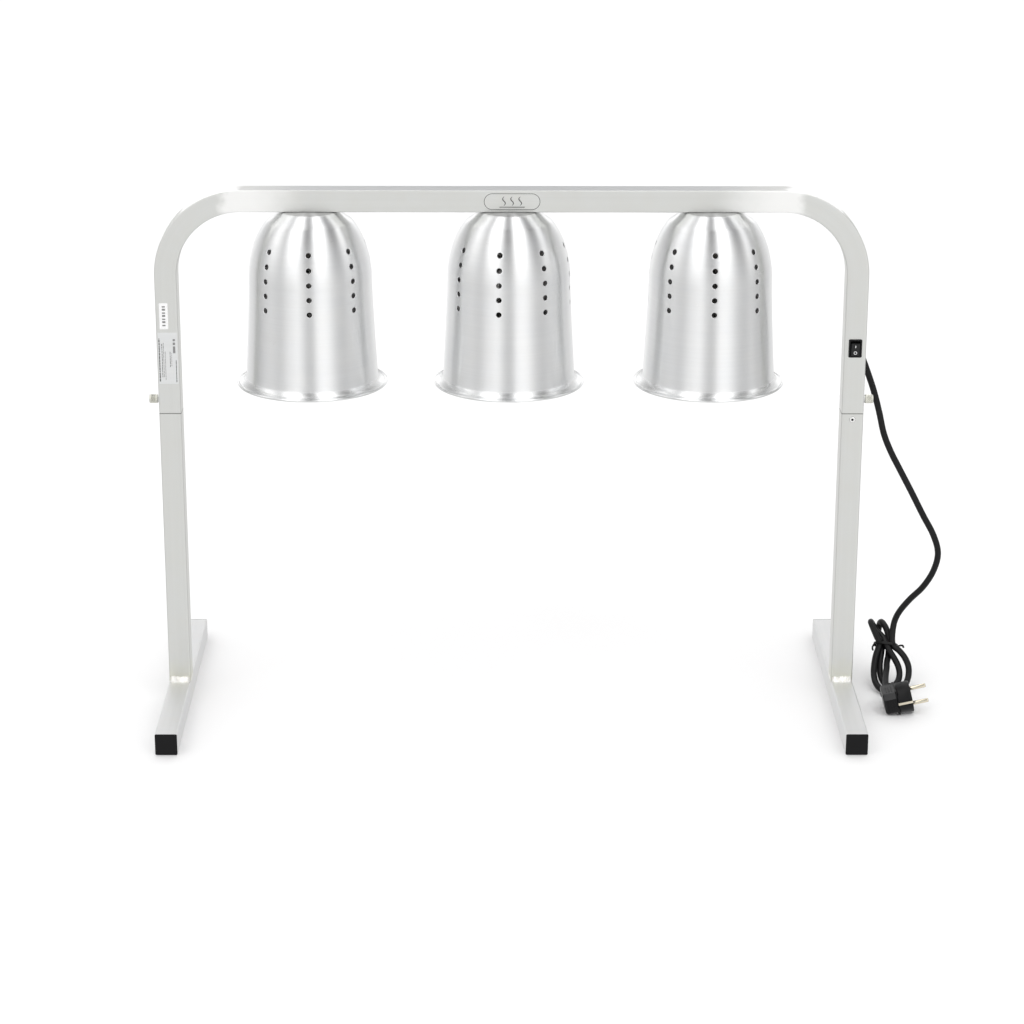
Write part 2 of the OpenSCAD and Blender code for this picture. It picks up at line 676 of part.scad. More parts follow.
// Thin label on the front of a leg
module label(x, z, width, height) translate([x, -half_tube - 0.1, z])
  cube([width, 0.2, height], center = true);
module rating_label() color([0.78, 0.79, 0.80]) label(-leg_x, 417, 22, 60);
module small_label() color([0.95, 0.95, 0.94]) label(-leg_x - 3.4, 466, 9.7, 30);

// Plain name plate with a grooved border and a heat symbol of three waves
module badge() {
  straight = 44;
  floor_z = 0.25;                   // bottom of the engraving
  wave = [for (k = [0:10]) [1.3*sin(36*k), k]];
  color([0.80, 0.80, 0.79]) translate([0, -half_tube, mid_z]) rotate([90, 0, 0]) difference() {
    linear_extrude(0.4) stadium(straight, 10);
    translate([0, 0, floor_z]) linear_extrude(1) difference() {
      stadium(straight, 9.2);
      stadium(straight, 8.7);
    }
    for (x = [-9, 0, 9]) translate([x, -5, floor_z]) linear_extrude(1) polygon(concat(
      [for (point = wave) point - [0.5, 0]],
      [for (k = [10:-1:0]) wave[k] + [0.5, 0]]));
  }
}

place() upper_frame();
place() lower_leg(left);  // left_lower_leg
place() lower_leg(right);  // right_lower_leg
place() foot(left);  // left_foot
place() foot(right);  // right_foot
place() weld(left);  // left_weld
place() weld(right);  // right_weld
place() sleeve_tube(left);  // left_sleeve
place() sleeve_tube(right);  // right_sleeve
place() rivet(left);  // left_rivet
place() rivet(right);  // right_rivet
place() foot_cap(left, front);  // left_foot_cap_front
place() foot_cap(left, rear);  // left_foot_cap_rear
place() foot_cap(right, front);  // right_foot_cap_front
place() foot_cap(right, rear);  // right_foot_cap_rear
place() clamp_bosses();
place() clamp_screw(left);  // left_clamp_screw
place() clamp_screw(right);  // right_clamp_screw
place() shade(left_lamp);  // left_shade
place() shade(centre_lamp);  // centre_shade
place() shade(right_lamp);  // right_shade
place() beam_nuts();
place() hanger_nipples();
place() shade_nuts();
place() lampholder(left_lamp);  // left_lampholder
place() lampholder(centre_lamp);  // centre_lampholder
place() lampholder(right_lamp);  // right_lampholder
place() screw_shell(left_lamp);  // left_screw_shell
place() screw_shell(centre_lamp);  // centre_screw_shell
place() screw_shell(right_lamp);  // right_screw_shell
place() centre_contacts();
place() bulb_glass(left_lamp);  // left_bulb_glass
place() bulb_glass(centre_lamp);  // centre_bulb_glass
place() bulb_glass(right_lamp);  // right_bulb_glass
place() bulb_cap(left_lamp);  // left_bulb_cap
place() bulb_cap(centre_lamp);  // centre_bulb_cap
place() bulb_cap(right_lamp);  // right_bulb_cap
place() filament(left_lamp);  // left_filament
place() filament(centre_lamp);  // centre_filament
place() filament(right_lamp);  // right_filament
place() switch_housing();
place() switch_rocker();
place() switch_tabs();
place() terminal_block();
place() terminal_screws();
place() live_wire();
place() neutral_wire();
place() earth_wire();
place() switch_leads();
place() cord_grip();
place() power_cord_upper();
place() power_cord_lower();
place() cord_tie();
place() plug_body();
place() plug_pins();
place() plug_earth_strips();
place() rating_label();
place() small_label();
place() badge();
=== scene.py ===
"""Three-lamp heater on a square-tube stand, dressed over its CAD pieces.

A bridge of square tube stands on two legs with feet. Three spun shades hang under its beam.
The front faces -Y, left is -X, and the feet rest on z = 0.
Lengths are in metres; profiles and tables marked mm are in millimetres.
"""
import math
import bmesh
import bpy
import numpy as np
from mathutils import Matrix, Vector


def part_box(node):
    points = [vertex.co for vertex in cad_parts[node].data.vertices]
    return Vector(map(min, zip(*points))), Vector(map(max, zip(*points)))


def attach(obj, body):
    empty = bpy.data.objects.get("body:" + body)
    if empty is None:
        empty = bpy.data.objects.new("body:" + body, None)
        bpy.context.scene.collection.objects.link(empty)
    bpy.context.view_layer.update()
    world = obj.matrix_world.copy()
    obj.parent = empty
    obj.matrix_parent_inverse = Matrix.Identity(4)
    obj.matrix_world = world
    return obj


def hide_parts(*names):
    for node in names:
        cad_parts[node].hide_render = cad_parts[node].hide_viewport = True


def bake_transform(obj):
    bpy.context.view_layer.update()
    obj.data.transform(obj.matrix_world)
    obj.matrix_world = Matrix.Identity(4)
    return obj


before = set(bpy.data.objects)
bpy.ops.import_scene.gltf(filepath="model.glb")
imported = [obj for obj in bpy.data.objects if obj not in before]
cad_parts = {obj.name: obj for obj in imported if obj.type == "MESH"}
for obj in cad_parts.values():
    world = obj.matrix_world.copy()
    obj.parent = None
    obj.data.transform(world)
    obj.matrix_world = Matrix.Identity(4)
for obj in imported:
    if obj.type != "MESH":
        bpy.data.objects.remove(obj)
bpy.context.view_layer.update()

MM = 0.001
TAU = 2 * math.pi


def box(node):
    """Low and high corner of a CAD piece."""
    low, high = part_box(node)
    return np.array(low), np.array(high)


def middle(node):
    low, high = box(node)
    return 0.5 * (low + high)


# ------------------------------------------------------------------ driving dimensions
leg_low, leg_high = box("right_lower_leg")
MID = middle("upper_frame")[0]        # x of the middle of the beam
LEFT_X = middle("left_lower_leg")[0]
RIGHT_X = middle("right_lower_leg")[0]
TUBE = leg_high[0] - leg_low[0]       # width of the square tube
HALF = TUBE / 2
SEAM = leg_high[2]                    # height where the frame meets the legs
TOP = box("upper_frame")[1][2]
BEAM = TOP - TUBE                     # underside of the beam
BEND = 98 * MM                        # outside radius of the bends
SIDES = {"left": (LEFT_X, -1), "right": (RIGHT_X, 1)}    # leg x, outward direction
LAMP_X = {side: middle(side + "_shade")[0] for side in ("left", "centre", "right")}
SWITCH_X, _, SWITCH_Z = middle("switch_housing")
CLAMP_Z = middle("left_clamp_screw")[2]
CLAMP_REACH = (LEFT_X - HALF - box("left_clamp_screw")[0][0]) / MM    # mm out from the tube
GRIP_Z = middle("cord_grip")[2]
SHADE_FOOT = box("left_shade")[0][2]


def from_mid(x, y, z):
    """Millimetres about the middle of the beam, as metres."""
    return np.array([MID + x * MM, y * MM, z * MM])


# ------------------------------------------------------------------ curves and outlines
def unit(vector):
    vector = np.asarray(vector, float)
    return vector / np.linalg.norm(vector)


def run_length(points):
    """Distance along a line of points at each point."""
    return np.concatenate([[0], np.cumsum(np.linalg.norm(np.diff(points, axis=0), axis=1))])


def interp_rows(at, stations, rows):
    """Rows interpolated at one station or several."""
    return np.stack([np.interp(at, stations, rows[:, k]) for k in range(rows.shape[1])], axis=-1)


def catmull(points, steps):
    """Catmull-Rom curve through the points."""
    points = [np.asarray(p, float) for p in points]
    curve = []
    for i in range(len(points) - 1):
        a, b = points[max(i - 1, 0)], points[i]
        c, d = points[i + 1], points[min(i + 2, len(points) - 1)]
        for k in range(steps):
            t = k / steps
            curve.append(0.5 * (2 * b + (c - a) * t + (2 * a - 5 * b + 4 * c - d) * t * t
                                + (3 * b - a - 3 * c + d) * t ** 3))
    curve.append(points[-1])
    return np.array(curve)


def rounded_rect(width, height, radius, corner_steps=6, side_steps=6):
    """Closed anticlockwise outline of a rounded rectangle, with divided sides."""
    across, up = width / 2 - radius, height / 2 - radius
    corners = [(across, -up, -90), (across, up, 0), (-across, up, 90), (-across, -up, 180)]
    points = []

    def on_corner(corner, turned):
        angle = math.radians(corner[2] + turned)
        return corner[0] + radius * math.cos(angle), corner[1] + radius * math.sin(angle)
    for k, corner in enumerate(corners):
        points += [on_corner(corner, 90 * i / corner_steps) for i in range(corner_steps + 1)]
        start, end = points[-1], on_corner(corners[(k + 1) % 4], 0)
        for i in range(1, side_steps):
            points.append((start[0] + (end[0] - start[0]) * i / side_steps,
                           start[1] + (end[1] - start[1]) * i / side_steps))
    return np.array(points)


# ------------------------------------------------------------------ mesh building
class Shape:
    """Vertices, faces, texture coordinates and material indices of a piece."""

    def __init__(self):
        self.verts, self.faces, self.uvs, self.mats = [], [], [], []

    def add(self, points):
        """Adds vertices and returns the index of the first."""
        start = len(self.verts)
        self.verts.extend([tuple(float(c) for c in p) for p in points])
        return start

    def face(self, indices, uv=None, mat=0):
        self.faces.append(tuple(indices))
        self.uvs.append(uv if uv is not None else [(0.0, 0.0)] * len(indices))
        self.mats.append(mat)

    def grid(self, rows, u, v, close_i=False, close_j=False, mat=0, flip=False):
        """Skins points rows[i][j]. u runs with i and v with j, one longer where it closes."""
        rows = np.asarray(rows, float)
        ni, nj = rows.shape[:2]
        base = self.add(rows.reshape(-1, 3))
        for i in range(ni if close_i else ni - 1):
            for j in range(nj if close_j else nj - 1):
                corners = [(i, j), (i + 1, j), (i + 1, j + 1), (i, j + 1)]
                if flip:
                    corners.reverse()
                self.face([base + (a % ni) * nj + b % nj for a, b in corners],
                          [(u[a], v[b]) for a, b in corners], mat)
        return base

    def cap(self, start, count, mat=0, flip=False):
        """Closes a ring of existing vertices with one face."""
        ring = list(range(start, start + count))
        if flip:
            ring.reverse()
        uv = [(self.verts[i][0] + self.verts[i][1], self.verts[i][2]) for i in ring]
        self.face(ring, uv, mat)

    def bar(self, rows, u, v, mat=0):
        """Grid closed around its section, with both ends capped."""
        count = len(rows[0])
        base = self.grid(rows, u, v, close_j=True, mat=mat)
        self.cap(base, count, mat)
        self.cap(base + (len(rows) - 1) * count, count, mat)

    def move(self, matrix):
        """Moves everything built so far."""
        self.verts = [tuple(matrix @ Vector(p)) for p in self.verts]

    def lathe(self, profile, origin, axis, sides=64, closed=False, radial=None, mats=None):
        """Turns a profile of (radius, height) in mm about an axis.

        radial(station, angle, radius) may change the radius, in metres.
        """
        axis = np.asarray(axis, float) / np.linalg.norm(axis)
        side = np.array([1.0, 0, 0] if abs(axis[2]) > 0.9 else [0, 0, 1.0])
        side = side - (side @ axis) * axis
        side /= np.linalg.norm(side)
        other = np.cross(axis, side)
        profile = np.asarray(profile, float) * MM
        run = list(run_length(profile))
        run.append(run[-1] + np.linalg.norm(profile[0] - profile[-1]))
        rings = []
        for k, (r, h) in enumerate(profile):
            if r < 1e-7:
                rings.append([self.add([np.asarray(origin) + h * axis])])
                continue
            points = []
            for j in range(sides):
                angle = TAU * j / sides
                rr = radial(k, angle, r) if radial else r
                points.append(np.asarray(origin)
                              + rr * (math.cos(angle) * side + math.sin(angle) * other)
                              + h * axis)
            start = self.add(points)
            rings.append([start + j for j in range(sides)])
        around = TAU * max(profile[:, 0])
        for k in range(len(profile) if closed else len(profile) - 1):
            near, far = rings[k], rings[(k + 1) % len(profile)]
            v0, v1 = run[k], run[k + 1]
            mat = mats[k] if mats else 0
            for j in range(sides):
                j1 = (j + 1) % sides
                u0, u1 = around * j / sides, around * (j + 1) / sides
                if len(near) == 1:
                    self.face([near[0], far[j], far[j1]],
                              [((u0 + u1) / 2, v0), (u0, v1), (u1, v1)], mat)
                elif len(far) == 1:
                    self.face([near[j], far[0], near[j1]],
                              [(u0, v0), ((u0 + u1) / 2, v1), (u1, v0)], mat)
                else:
                    self.face([near[j], far[j], far[j1], near[j1]],
                              [(u0, v0), (u0, v1), (u1, v1), (u1, v0)], mat)

    def sweep(self, path, radius, sides):
        """Round cord along a path."""
        path = np.asarray(path, float)
        count = len(path)
        along = [unit(path[min(i + 1, count - 1)] - path[max(i - 1, 0)]) for i in range(count)]
        start = [0, 0, 1.0] if abs(along[0][2]) < 0.8 else [1.0, 0, 0]
        normals = [unit(np.cross(along[0], start))]
        for t in along[1:]:
            normals.append(unit(normals[-1] - (normals[-1] @ t) * t))
        rows = []
        for point, t, normal in zip(path, along, normals):
            across = np.cross(t, normal)
            rows.append([point + radius * (math.cos(a) * normal + math.sin(a) * across)
                         for a in (TAU * k / sides for k in range(sides))])
        v = [TAU * radius * k / sides for k in range(sides + 1)]
        base = self.grid(rows, run_length(path), v, close_j=True)
        self.cap(base, sides)
        self.cap(base + (count - 1) * sides, sides, flip=True)

    def loft(self, rings, place, mats=None, corner_steps=5, side_steps=4):
        """Solid through rounded rectangles (width, height, corner radius, offset).

        place(a, c, offset) turns outline coordinates into a point.
        """
        outlines = [rounded_rect(w, h, r, corner_steps, side_steps) for w, h, r, _ in rings]
        rows = [[place(a, c, ring[3]) for a, c in outline]
                for ring, outline in zip(rings, outlines)]
        mats = mats or [0] * len(rings)
        n = len(rows[0])
        start = self.add([p for row in rows for p in row])
        run = 0.0
        for k in range(len(rows) - 1):
            end = run + np.linalg.norm(np.asarray(rows[k + 1][0]) - np.asarray(rows[k][0]))
            near, far = start + k * n, start + (k + 1) * n
            for j in range(n):
                j1 = (j + 1) % n
                u0, u1 = 0.001 * j, 0.001 * (j + 1)
                self.face([near + j, near + j1, far + j1, far + j],
                          [(u0, run), (u1, run), (u1, end), (u0, end)], mats[k])
            run = end
        self.face([start + j for j in range(n)], [tuple(p) for p in outlines[0]], mats[0])
        last = start + (len(rows) - 1) * n
        self.face([last + j for j in reversed(range(n))],
                  [tuple(p) for p in outlines[-1][::-1]], mats[-1])

    def hard_box(self, low, high, mat=0):
        """Sharp box."""
        corners = [(x, y, z) for z in (low[2], high[2]) for y in (low[1], high[1])
                   for x in (low[0], high[0])]
        start = self.add(corners)
        for quad in ((0, 2, 3, 1), (4, 5, 7, 6), (0, 1, 5, 4),
                     (2, 6, 7, 3), (0, 4, 6, 2), (1, 3, 7, 5)):
            a, b, c = (corners[k] for k in quad[:3])
            spans = [i for i in range(3) if abs(a[i] - b[i]) + abs(b[i] - c[i]) > 1e-9]
            uv = [(corners[k][spans[0]], corners[k][spans[1]]) for k in quad]
            self.face([start + k for k in quad], uv, mat)

    def soft_box(self, low, high, radius, mat=0, steps=3):
        """Box with rounded edges and corners, in mm: one grid on each side."""
        low, high, radius = np.array(low) * MM, np.array(high) * MM, radius * MM
        centre, half = (low + high) / 2, (high - low) / 2

        def stations(reach):
            edge = [(radius - reach) - radius * math.sin(math.pi / 4 * (steps - k) / steps)
                    / math.sin(math.pi / 4) for k in range(steps)]
            flat = [(radius - reach) + (2 * reach - 2 * radius) * k / 4 for k in range(5)]
            return edge + flat + [-s for s in reversed(edge)]
        for axis, (u_axis, v_axis) in enumerate(((1, 2), (2, 0), (0, 1))):
            u, v = stations(half[u_axis]), stations(half[v_axis])
            for sign in (1, -1):
                rows = np.zeros((len(u), len(v), 3))
                for i, a in enumerate(u):
                    for j, b in enumerate(v):
                        point = np.zeros(3)
                        point[u_axis], point[v_axis], point[axis] = a, b, sign * half[axis]
                        core = np.clip(point, -(half - radius), half - radius)
                        rise = point - core
                        rows[i][j] = centre + (core + rise / np.linalg.norm(rise) * radius)
                self.grid(rows, u, v, mat=mat, flip=(sign < 0))

    def mesh(self, name, sharp=None):
        """Blender mesh, smooth but for edges over the sharp angle in degrees."""
        mesh = bpy.data.meshes.new(name)
        mesh.from_pydata(self.verts, [], self.faces)
        layer = mesh.uv_layers.new(name="UVMap")
        layer.data.foreach_set("uv", [c for face in self.uvs for point in face for c in point])
        mesh.polygons.foreach_set("material_index", self.mats)
        mesh.polygons.foreach_set("use_smooth", [True] * len(self.faces))
        bm = bmesh.new()
        bm.from_mesh(mesh)
        bmesh.ops.recalc_face_normals(bm, faces=bm.faces)
        bm.to_mesh(mesh)
        bm.free()
        mesh.update()
        if sharp is not None:
            mesh.set_sharp_from_angle(angle=math.radians(sharp))
        return mesh


MATERIALS = {}


def make_object(shape, name, materials=(), sharp=None):
    """Links a new object to the scene; materials are given by name."""
    mesh = shape.mesh(name, sharp)
    for material in materials:
        mesh.materials.append(MATERIALS[material])
    made = bpy.data.objects.new(name, mesh)
    bpy.context.scene.collection.objects.link(made)
    return made


def cut_openings(target, cutters, sharp):
    """Cuts the openings, leaving one plain mesh."""
    tools = [make_object(cutter, "cutter") for cutter in cutters]
    for tool in tools:
        cut = target.modifiers.new("cut", "BOOLEAN")
        cut.operation, cut.solver, cut.object = "DIFFERENCE", "EXACT", tool
    depsgraph = bpy.context.evaluated_depsgraph_get()
    mesh = bpy.data.meshes.new_from_object(target.evaluated_get(depsgraph))
    target.modifiers.clear()
    target.data = mesh
    for tool in tools:
        bpy.data.objects.remove(tool)
    mesh.polygons.foreach_set("use_smooth", [True] * len(mesh.polygons))
    mesh.set_sharp_from_angle(angle=math.radians(sharp))


def put(shape, name, materials, body, node, sharp=38, cutters=()):
    """Places a piece on a moving body, in place of a CAD node."""
    made = make_object(shape, name, materials, None if cutters else sharp)
    if cutters:
        cut_openings(made, cutters, sharp)
    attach(made, body)
    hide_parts(node)


def box_cutter(low, high):
    shape = Shape()
    shape.hard_box(low, high)
    return shape


def drill(point, axis, radius, depth=3, sides=48):
    """Round cutter from 3 mm outside a face to the depth, in mm."""
    shape = Shape()
    start = -depth if depth == 2 else -3
    shape.lathe([[0, start], [radius, start], [radius, 3], [0, 3]], point, axis, sides)
    return shape


# ------------------------------------------------------------------ node helpers
class Nodes:
    """Short calls for a node tree. Any input takes a value or another node's output."""

    def __init__(self, tree):
        self.tree = tree
        tree.nodes.clear()

    def link(self, output, socket):
        self.tree.links.new(output, socket)

    def feed(self, socket, value):
        if isinstance(value, bpy.types.NodeSocket):
            self.link(value, socket)
        else:
            socket.default_value = (*value, 1.0) if socket.type == "RGBA" else value

    def node(self, kind, inputs=None, **props):
        made = self.tree.nodes.new(kind)
        for key, value in props.items():
            setattr(made, key, value)
        for key, value in (inputs or {}).items():
            self.feed(made.inputs[key], value)
        return made

    def math(self, operation, *values, clamp=False):
        return self.node("ShaderNodeMath", dict(enumerate(values)),
                         operation=operation, use_clamp=clamp).outputs[0]

    def add(self, a, b, clamp=False):
        return self.math("ADD", a, b, clamp=clamp)

    def sub(self, a, b):
        return self.math("SUBTRACT", a, b)

    def mul(self, a, b):
        return self.math("MULTIPLY", a, b)

    def vector_math(self, operation, a, b):
        return self.node("ShaderNodeVectorMath", {0: a, 1: b}, operation=operation).outputs[0]

    def combine(self, x, y, z):
        return self.node("ShaderNodeCombineXYZ", {0: x, 1: y, 2: z}).outputs[0]

    def split(self, vector):
        return tuple(self.node("ShaderNodeSeparateXYZ", {0: vector}).outputs)

    def coords(self, kind="Object"):
        return self.node("ShaderNodeTexCoord").outputs[kind]

    def uv(self):
        return self.node("ShaderNodeUVMap", uv_map="UVMap").outputs[0]

    def noise(self, vector, scale=1.0, detail=3.0, rough=0.6, warp=0.0):
        return self.node("ShaderNodeTexNoise", {
            "Scale": scale, "Detail": detail, "Roughness": rough, "Distortion": warp,
            "Vector": vector}).outputs[0]

    def remap(self, value, start, end, low=0.0, high=1.0, curve="LINEAR"):
        """Maps start..end to low..high."""
        return self.node("ShaderNodeMapRange", {0: value, 1: start, 2: end, 3: low, 4: high},
                         interpolation_type=curve).outputs[0]

    def ease(self, value, start, end, low=0.0, high=1.0):
        """The same with a soft start and end."""
        return self.remap(value, start, end, low, high, curve="SMOOTHSTEP")

    def spread(self, noise, low, high):
        """Maps the usual range of a noise to low..high."""
        return self.remap(noise, 0.3, 0.7, low, high)

    def mix(self, factor, a, b):
        return self.node("ShaderNodeMix", {0: factor, 6: a, 7: b}, data_type="RGBA").outputs[2]

    def mix_shader(self, factor, a, b):
        return self.node("ShaderNodeMixShader", {0: factor, 1: a, 2: b}).outputs[0]

    def brightness(self, color, value):
        return self.node("ShaderNodeHueSaturation", {"Color": color, "Value": value}).outputs[0]

    def mottle(self, color, fine, slow, amount):
        """Colour lightened and darkened by two noises."""
        change = self.add(self.spread(fine, -amount, amount), self.spread(slow, -amount, amount))
        return self.brightness(color, self.add(1.0, change))

    def bump(self, height, strength, distance):
        return self.node("ShaderNodeBump", {"Strength": strength, "Distance": distance,
                                            "Height": height}).outputs[0]


class Material(Nodes):
    """A new material with one Principled shader."""

    def __init__(self, name):
        self.mat = bpy.data.materials.new(name)
        self.mat.use_nodes = True
        MATERIALS[name] = self.mat
        super().__init__(self.mat.node_tree)
        self.output = self.node("ShaderNodeOutputMaterial")
        self.bsdf = self.node("ShaderNodeBsdfPrincipled")
        self.link(self.bsdf.outputs[0], self.output.inputs[0])

    def set(self, **inputs):
        for name, value in inputs.items():
            self.feed(self.bsdf.inputs[name.replace("_", " ")], value)

    def source(self, name):
        """What feeds an input now."""
        return self.bsdf.inputs[name].links[0].from_socket


# ------------------------------------------------------------------ kinds of surface
def brushed(name, color, rough, aniso, along, across, streak, bump, broad=160.0, mottle=0.5,
            tint=(0.98, 0.99, 1.0), rotate=0.25, around=False):
    """Metal brushed along texture u, or around the piece.

    along, across: streak noise scales; broad: scale across of the wide streaks.
    streak: change in brightness; mottle: share of it in slow patches, which take the tint.
    """
    m = Material(name)
    if around:
        x, y, _ = m.split(m.coords())
        _, v, _ = m.split(m.uv())
        fine_at = m.combine(m.mul(x, along), m.mul(y, along), m.mul(v, across))
        wide_at = m.combine(m.mul(x, along * 0.7), m.mul(y, along * 0.7), m.mul(v, broad))
    else:
        u, v, _ = m.split(m.uv())
        fine_at = m.combine(m.mul(u, along), m.mul(v, across), 0.0)
        wide_at = m.combine(m.mul(u, along * 0.5), m.mul(v, broad), 4.0)
    fine = m.noise(fine_at, detail=4.0)
    wide = m.noise(wide_at, rough=0.5)
    patches = m.noise(m.vector_math("MULTIPLY", m.coords(), (1, 1, 1)),
                      scale=42.0, detail=4.0, warp=0.3)
    light = m.add(m.spread(fine, -streak * 0.6, streak * 0.6),
                  m.add(m.spread(wide, -streak, streak),
                        m.spread(patches, -streak * mottle, streak * mottle)))
    tinted = m.mix(m.remap(patches, 0.35, 0.65), color, tuple(c * t for c, t in zip(color, tint)))
    m.set(Base_Color=m.brightness(tinted, m.add(light, 1.0)),
          Metallic=1.0,
          Roughness=m.add(m.spread(fine, rough * 0.86, rough * 1.14),
                          m.spread(patches, -0.03, 0.03)),
          Anisotropic=aniso,
          Anisotropic_Rotation=rotate,
          Tangent=m.node("ShaderNodeTangent", direction_type="UV_MAP",
                         uv_map="UVMap").outputs[0],
          Normal=m.bump(m.add(fine, m.mul(wide, 1.4)), bump, 0.00004))
    return m


def plain(name, color, rough, metallic=0.0, grain=900.0, vary=0.06, bump=0.15,
          bump_depth=0.00005, coat=0.0, spec=0.5):
    """Cast, moulded or painted: fine grain and slow variation by the share vary."""
    m = Material(name)
    fine_at = m.coords()
    fine = m.noise(fine_at, scale=grain)
    slow = m.noise(fine_at, scale=60.0, detail=4.0, warp=0.4)
    m.set(Base_Color=m.mottle(color, fine, slow, vary),
          Metallic=metallic,
          Roughness=m.add(m.spread(slow, rough * 0.85, rough * 1.15),
                          m.spread(fine, -0.02, 0.02), clamp=True),
          Normal=m.bump(fine, bump, bump_depth),
          Coat_Weight=coat,
          Specular_IOR_Level=spec)
    return m


def streaky(name, color, rough, axis, fine=1500.0, vary=0.06):
    """Drawn or turned metal: streaks along one object axis."""
    m = Material(name)
    scales = [12.0 if axis == letter else fine for letter in "XYZ"]
    position = m.split(m.coords())
    streaks = m.noise(m.combine(*[m.mul(p, s) for p, s in zip(position, scales)]))
    slow = m.noise(m.coords(), scale=70.0, detail=4.0, warp=0.3)
    m.set(Base_Color=m.mottle(color, streaks, slow, vary),
          Metallic=1.0,
          Roughness=m.spread(slow, rough * 0.8, rough * 1.2),
          Normal=m.bump(streaks, 0.1, 0.00004))


# ------------------------------------------------------------------ materials
COOL = (0.985, 0.99, 1.0)      # tint of the satin and spun metal


def satin(name, color):
    return brushed(name, color, rough=0.42, aniso=0.2, along=5.0, across=1500.0, streak=0.014,
                   bump=0.06, mottle=0.9, tint=COOL)


def frame_metal():
    """Satin tube, with a painted highlight on the beam near the bends and painted shade on its upper
    wall.
    """
    m = satin("tube_satin", (0.80, 0.804, 0.776))
    base = m.source("Base Color")
    x, _, z = m.split(m.coords())
    _, _, normal_z = m.split(m.coords("Normal"))
    on_beam = m.remap(z, BEAM - 0.004, BEAM + 0.001)
    wobble = m.spread(m.noise(m.coords(), scale=30.0), -0.008, 0.008)
    offset = m.add(m.math("ABSOLUTE", m.sub(x, MID)), wobble)
    near_bend = m.mul(m.ease(offset, 0.222, 0.292), m.ease(offset, 0.318, 0.330, 1.0, 0.0))
    near_bend = m.mul(near_bend, on_beam)
    # painted shade: the beam's upward-facing wall is darkened, less so near the bends
    top = m.mul(m.ease(normal_z, 0.72, 0.95), on_beam)
    color = m.mix(top, base, m.mix(near_bend, (0.585, 0.59, 0.595), (0.70, 0.70, 0.69)))
    # painted highlight: near the bends the beam's front and sides are lightened and made less
    # metallic
    painted_highlight = m.mul(near_bend, m.sub(1.0, top))
    color = m.mix(painted_highlight, color, (0.97, 0.97, 0.955))
    # the outside of each bend is stretched; its upward-facing part is whitened and made less metallic
    # as a painted highlight
    _, normal_y, _ = m.split(m.coords("Normal"))
    painted_bend_highlight = m.mul(m.ease(offset, 0.300, 0.318),
                    m.remap(m.math("ABSOLUTE", normal_y), 0.5, 0.8, 1.0, 0.0))
    painted_bend_highlight = m.mul(m.mul(painted_bend_highlight, m.remap(normal_z, 0.1, 0.5)), on_beam)
    color = m.mix(painted_bend_highlight, color, (0.99, 0.99, 0.985))
    m.set(Metallic=m.sub(m.sub(1.0, m.mul(painted_highlight, 0.32)), m.mul(painted_bend_highlight, 0.65)),
          Base_Color=color)


def welded_metal(name, color, axis, edge, straw_share, dark_share):
    """Satin tube with straw and darker heat tints beyond the weld edge along an axis."""
    m = satin(name, color)
    position = m.split(m.coords())["XYZ".index(axis)]
    if axis == "Y":
        position = m.math("ABSOLUTE", position)
    distance = m.sub(position, edge)
    ragged = m.noise(m.coords(), scale=95.0, detail=4.0, warp=0.5)
    distance = m.add(distance, m.spread(ragged, -0.006, 0.006))
    straw = m.ease(distance, 0.0, 0.034, 1.0, 0.0)
    dark = m.mul(m.ease(distance, 0.0, 0.008, 1.0, 0.0), 0.35)
    color = m.mix(m.mul(straw, straw_share), m.source("Base Color"), (0.78, 0.77, 0.50))
    m.set(Base_Color=m.mix(m.mul(dark, dark_share), color, (0.62, 0.60, 0.46)))


def spun_metal(name, color, rough, aniso):
    m = brushed(name, color, rough=rough, aniso=aniso, along=9.0, across=2600.0, streak=0.012,
                bump=0.035, broad=620.0, tint=COOL, around=True)
    # the rolled lip is burnished
    _, _, z = m.split(m.coords())
    lip = m.ease(z, SHADE_FOOT + 0.0105, SHADE_FOOT + 0.0075)
    duller = m.mul(m.source("Roughness"), m.sub(1.0, lip))
    m.set(Roughness=m.add(duller, m.mul(lip, 0.27)),
          Anisotropic=m.sub(aniso, m.mul(lip, aniso - 0.6)))
    # the flat top of the crown is darkened: painted shade
    _, _, normal_z = m.split(m.coords("Normal"))
    painted_crown_shade = m.mul(m.ease(normal_z, 0.93, 0.985),
                 m.remap(z, SHADE_FOOT + 0.15, SHADE_FOOT + 0.16))
    m.set(Base_Color=m.mix(painted_crown_shade, m.source("Base Color"), (0.60, 0.60, 0.60)))


def weld_metal():
    m = plain("weld_ripple", (0.90, 0.895, 0.865), rough=0.32, metallic=0.80, grain=600,
              vary=0.04, bump=0.25)
    stain = m.noise(m.coords(), scale=300.0)
    m.set(Base_Color=m.mix(m.remap(stain, 0.48, 0.70, 0.0, 0.45), m.source("Base Color"),
                           (0.74, 0.70, 0.58)))


def cord_rubber():
    """Black jacket with lengthwise streaks and faint dusty patches."""
    m = Material("cord_jacket")
    u, v, _ = m.split(m.uv())
    streaks = m.noise(m.combine(m.mul(u, 60.0), m.mul(v, 900.0), 0.0))
    grain = m.noise(m.coords(), scale=1500.0, detail=2.0, rough=0.5)
    patches = m.noise(m.coords(), scale=35.0, detail=4.0, warp=0.4)
    black = m.brightness((0.0055, 0.0055, 0.006), m.add(0.85, m.spread(patches, 0.0, 0.5)))
    m.set(Base_Color=m.mix(m.remap(patches, 0.55, 0.8, 0.0, 0.02), black, (0.25, 0.24, 0.22)),
          Roughness=m.spread(patches, 0.34, 0.46),
          Normal=m.bump(m.add(streaks, m.mul(grain, 0.6)), 0.2, 0.00006),
          Specular_IOR_Level=0.26)


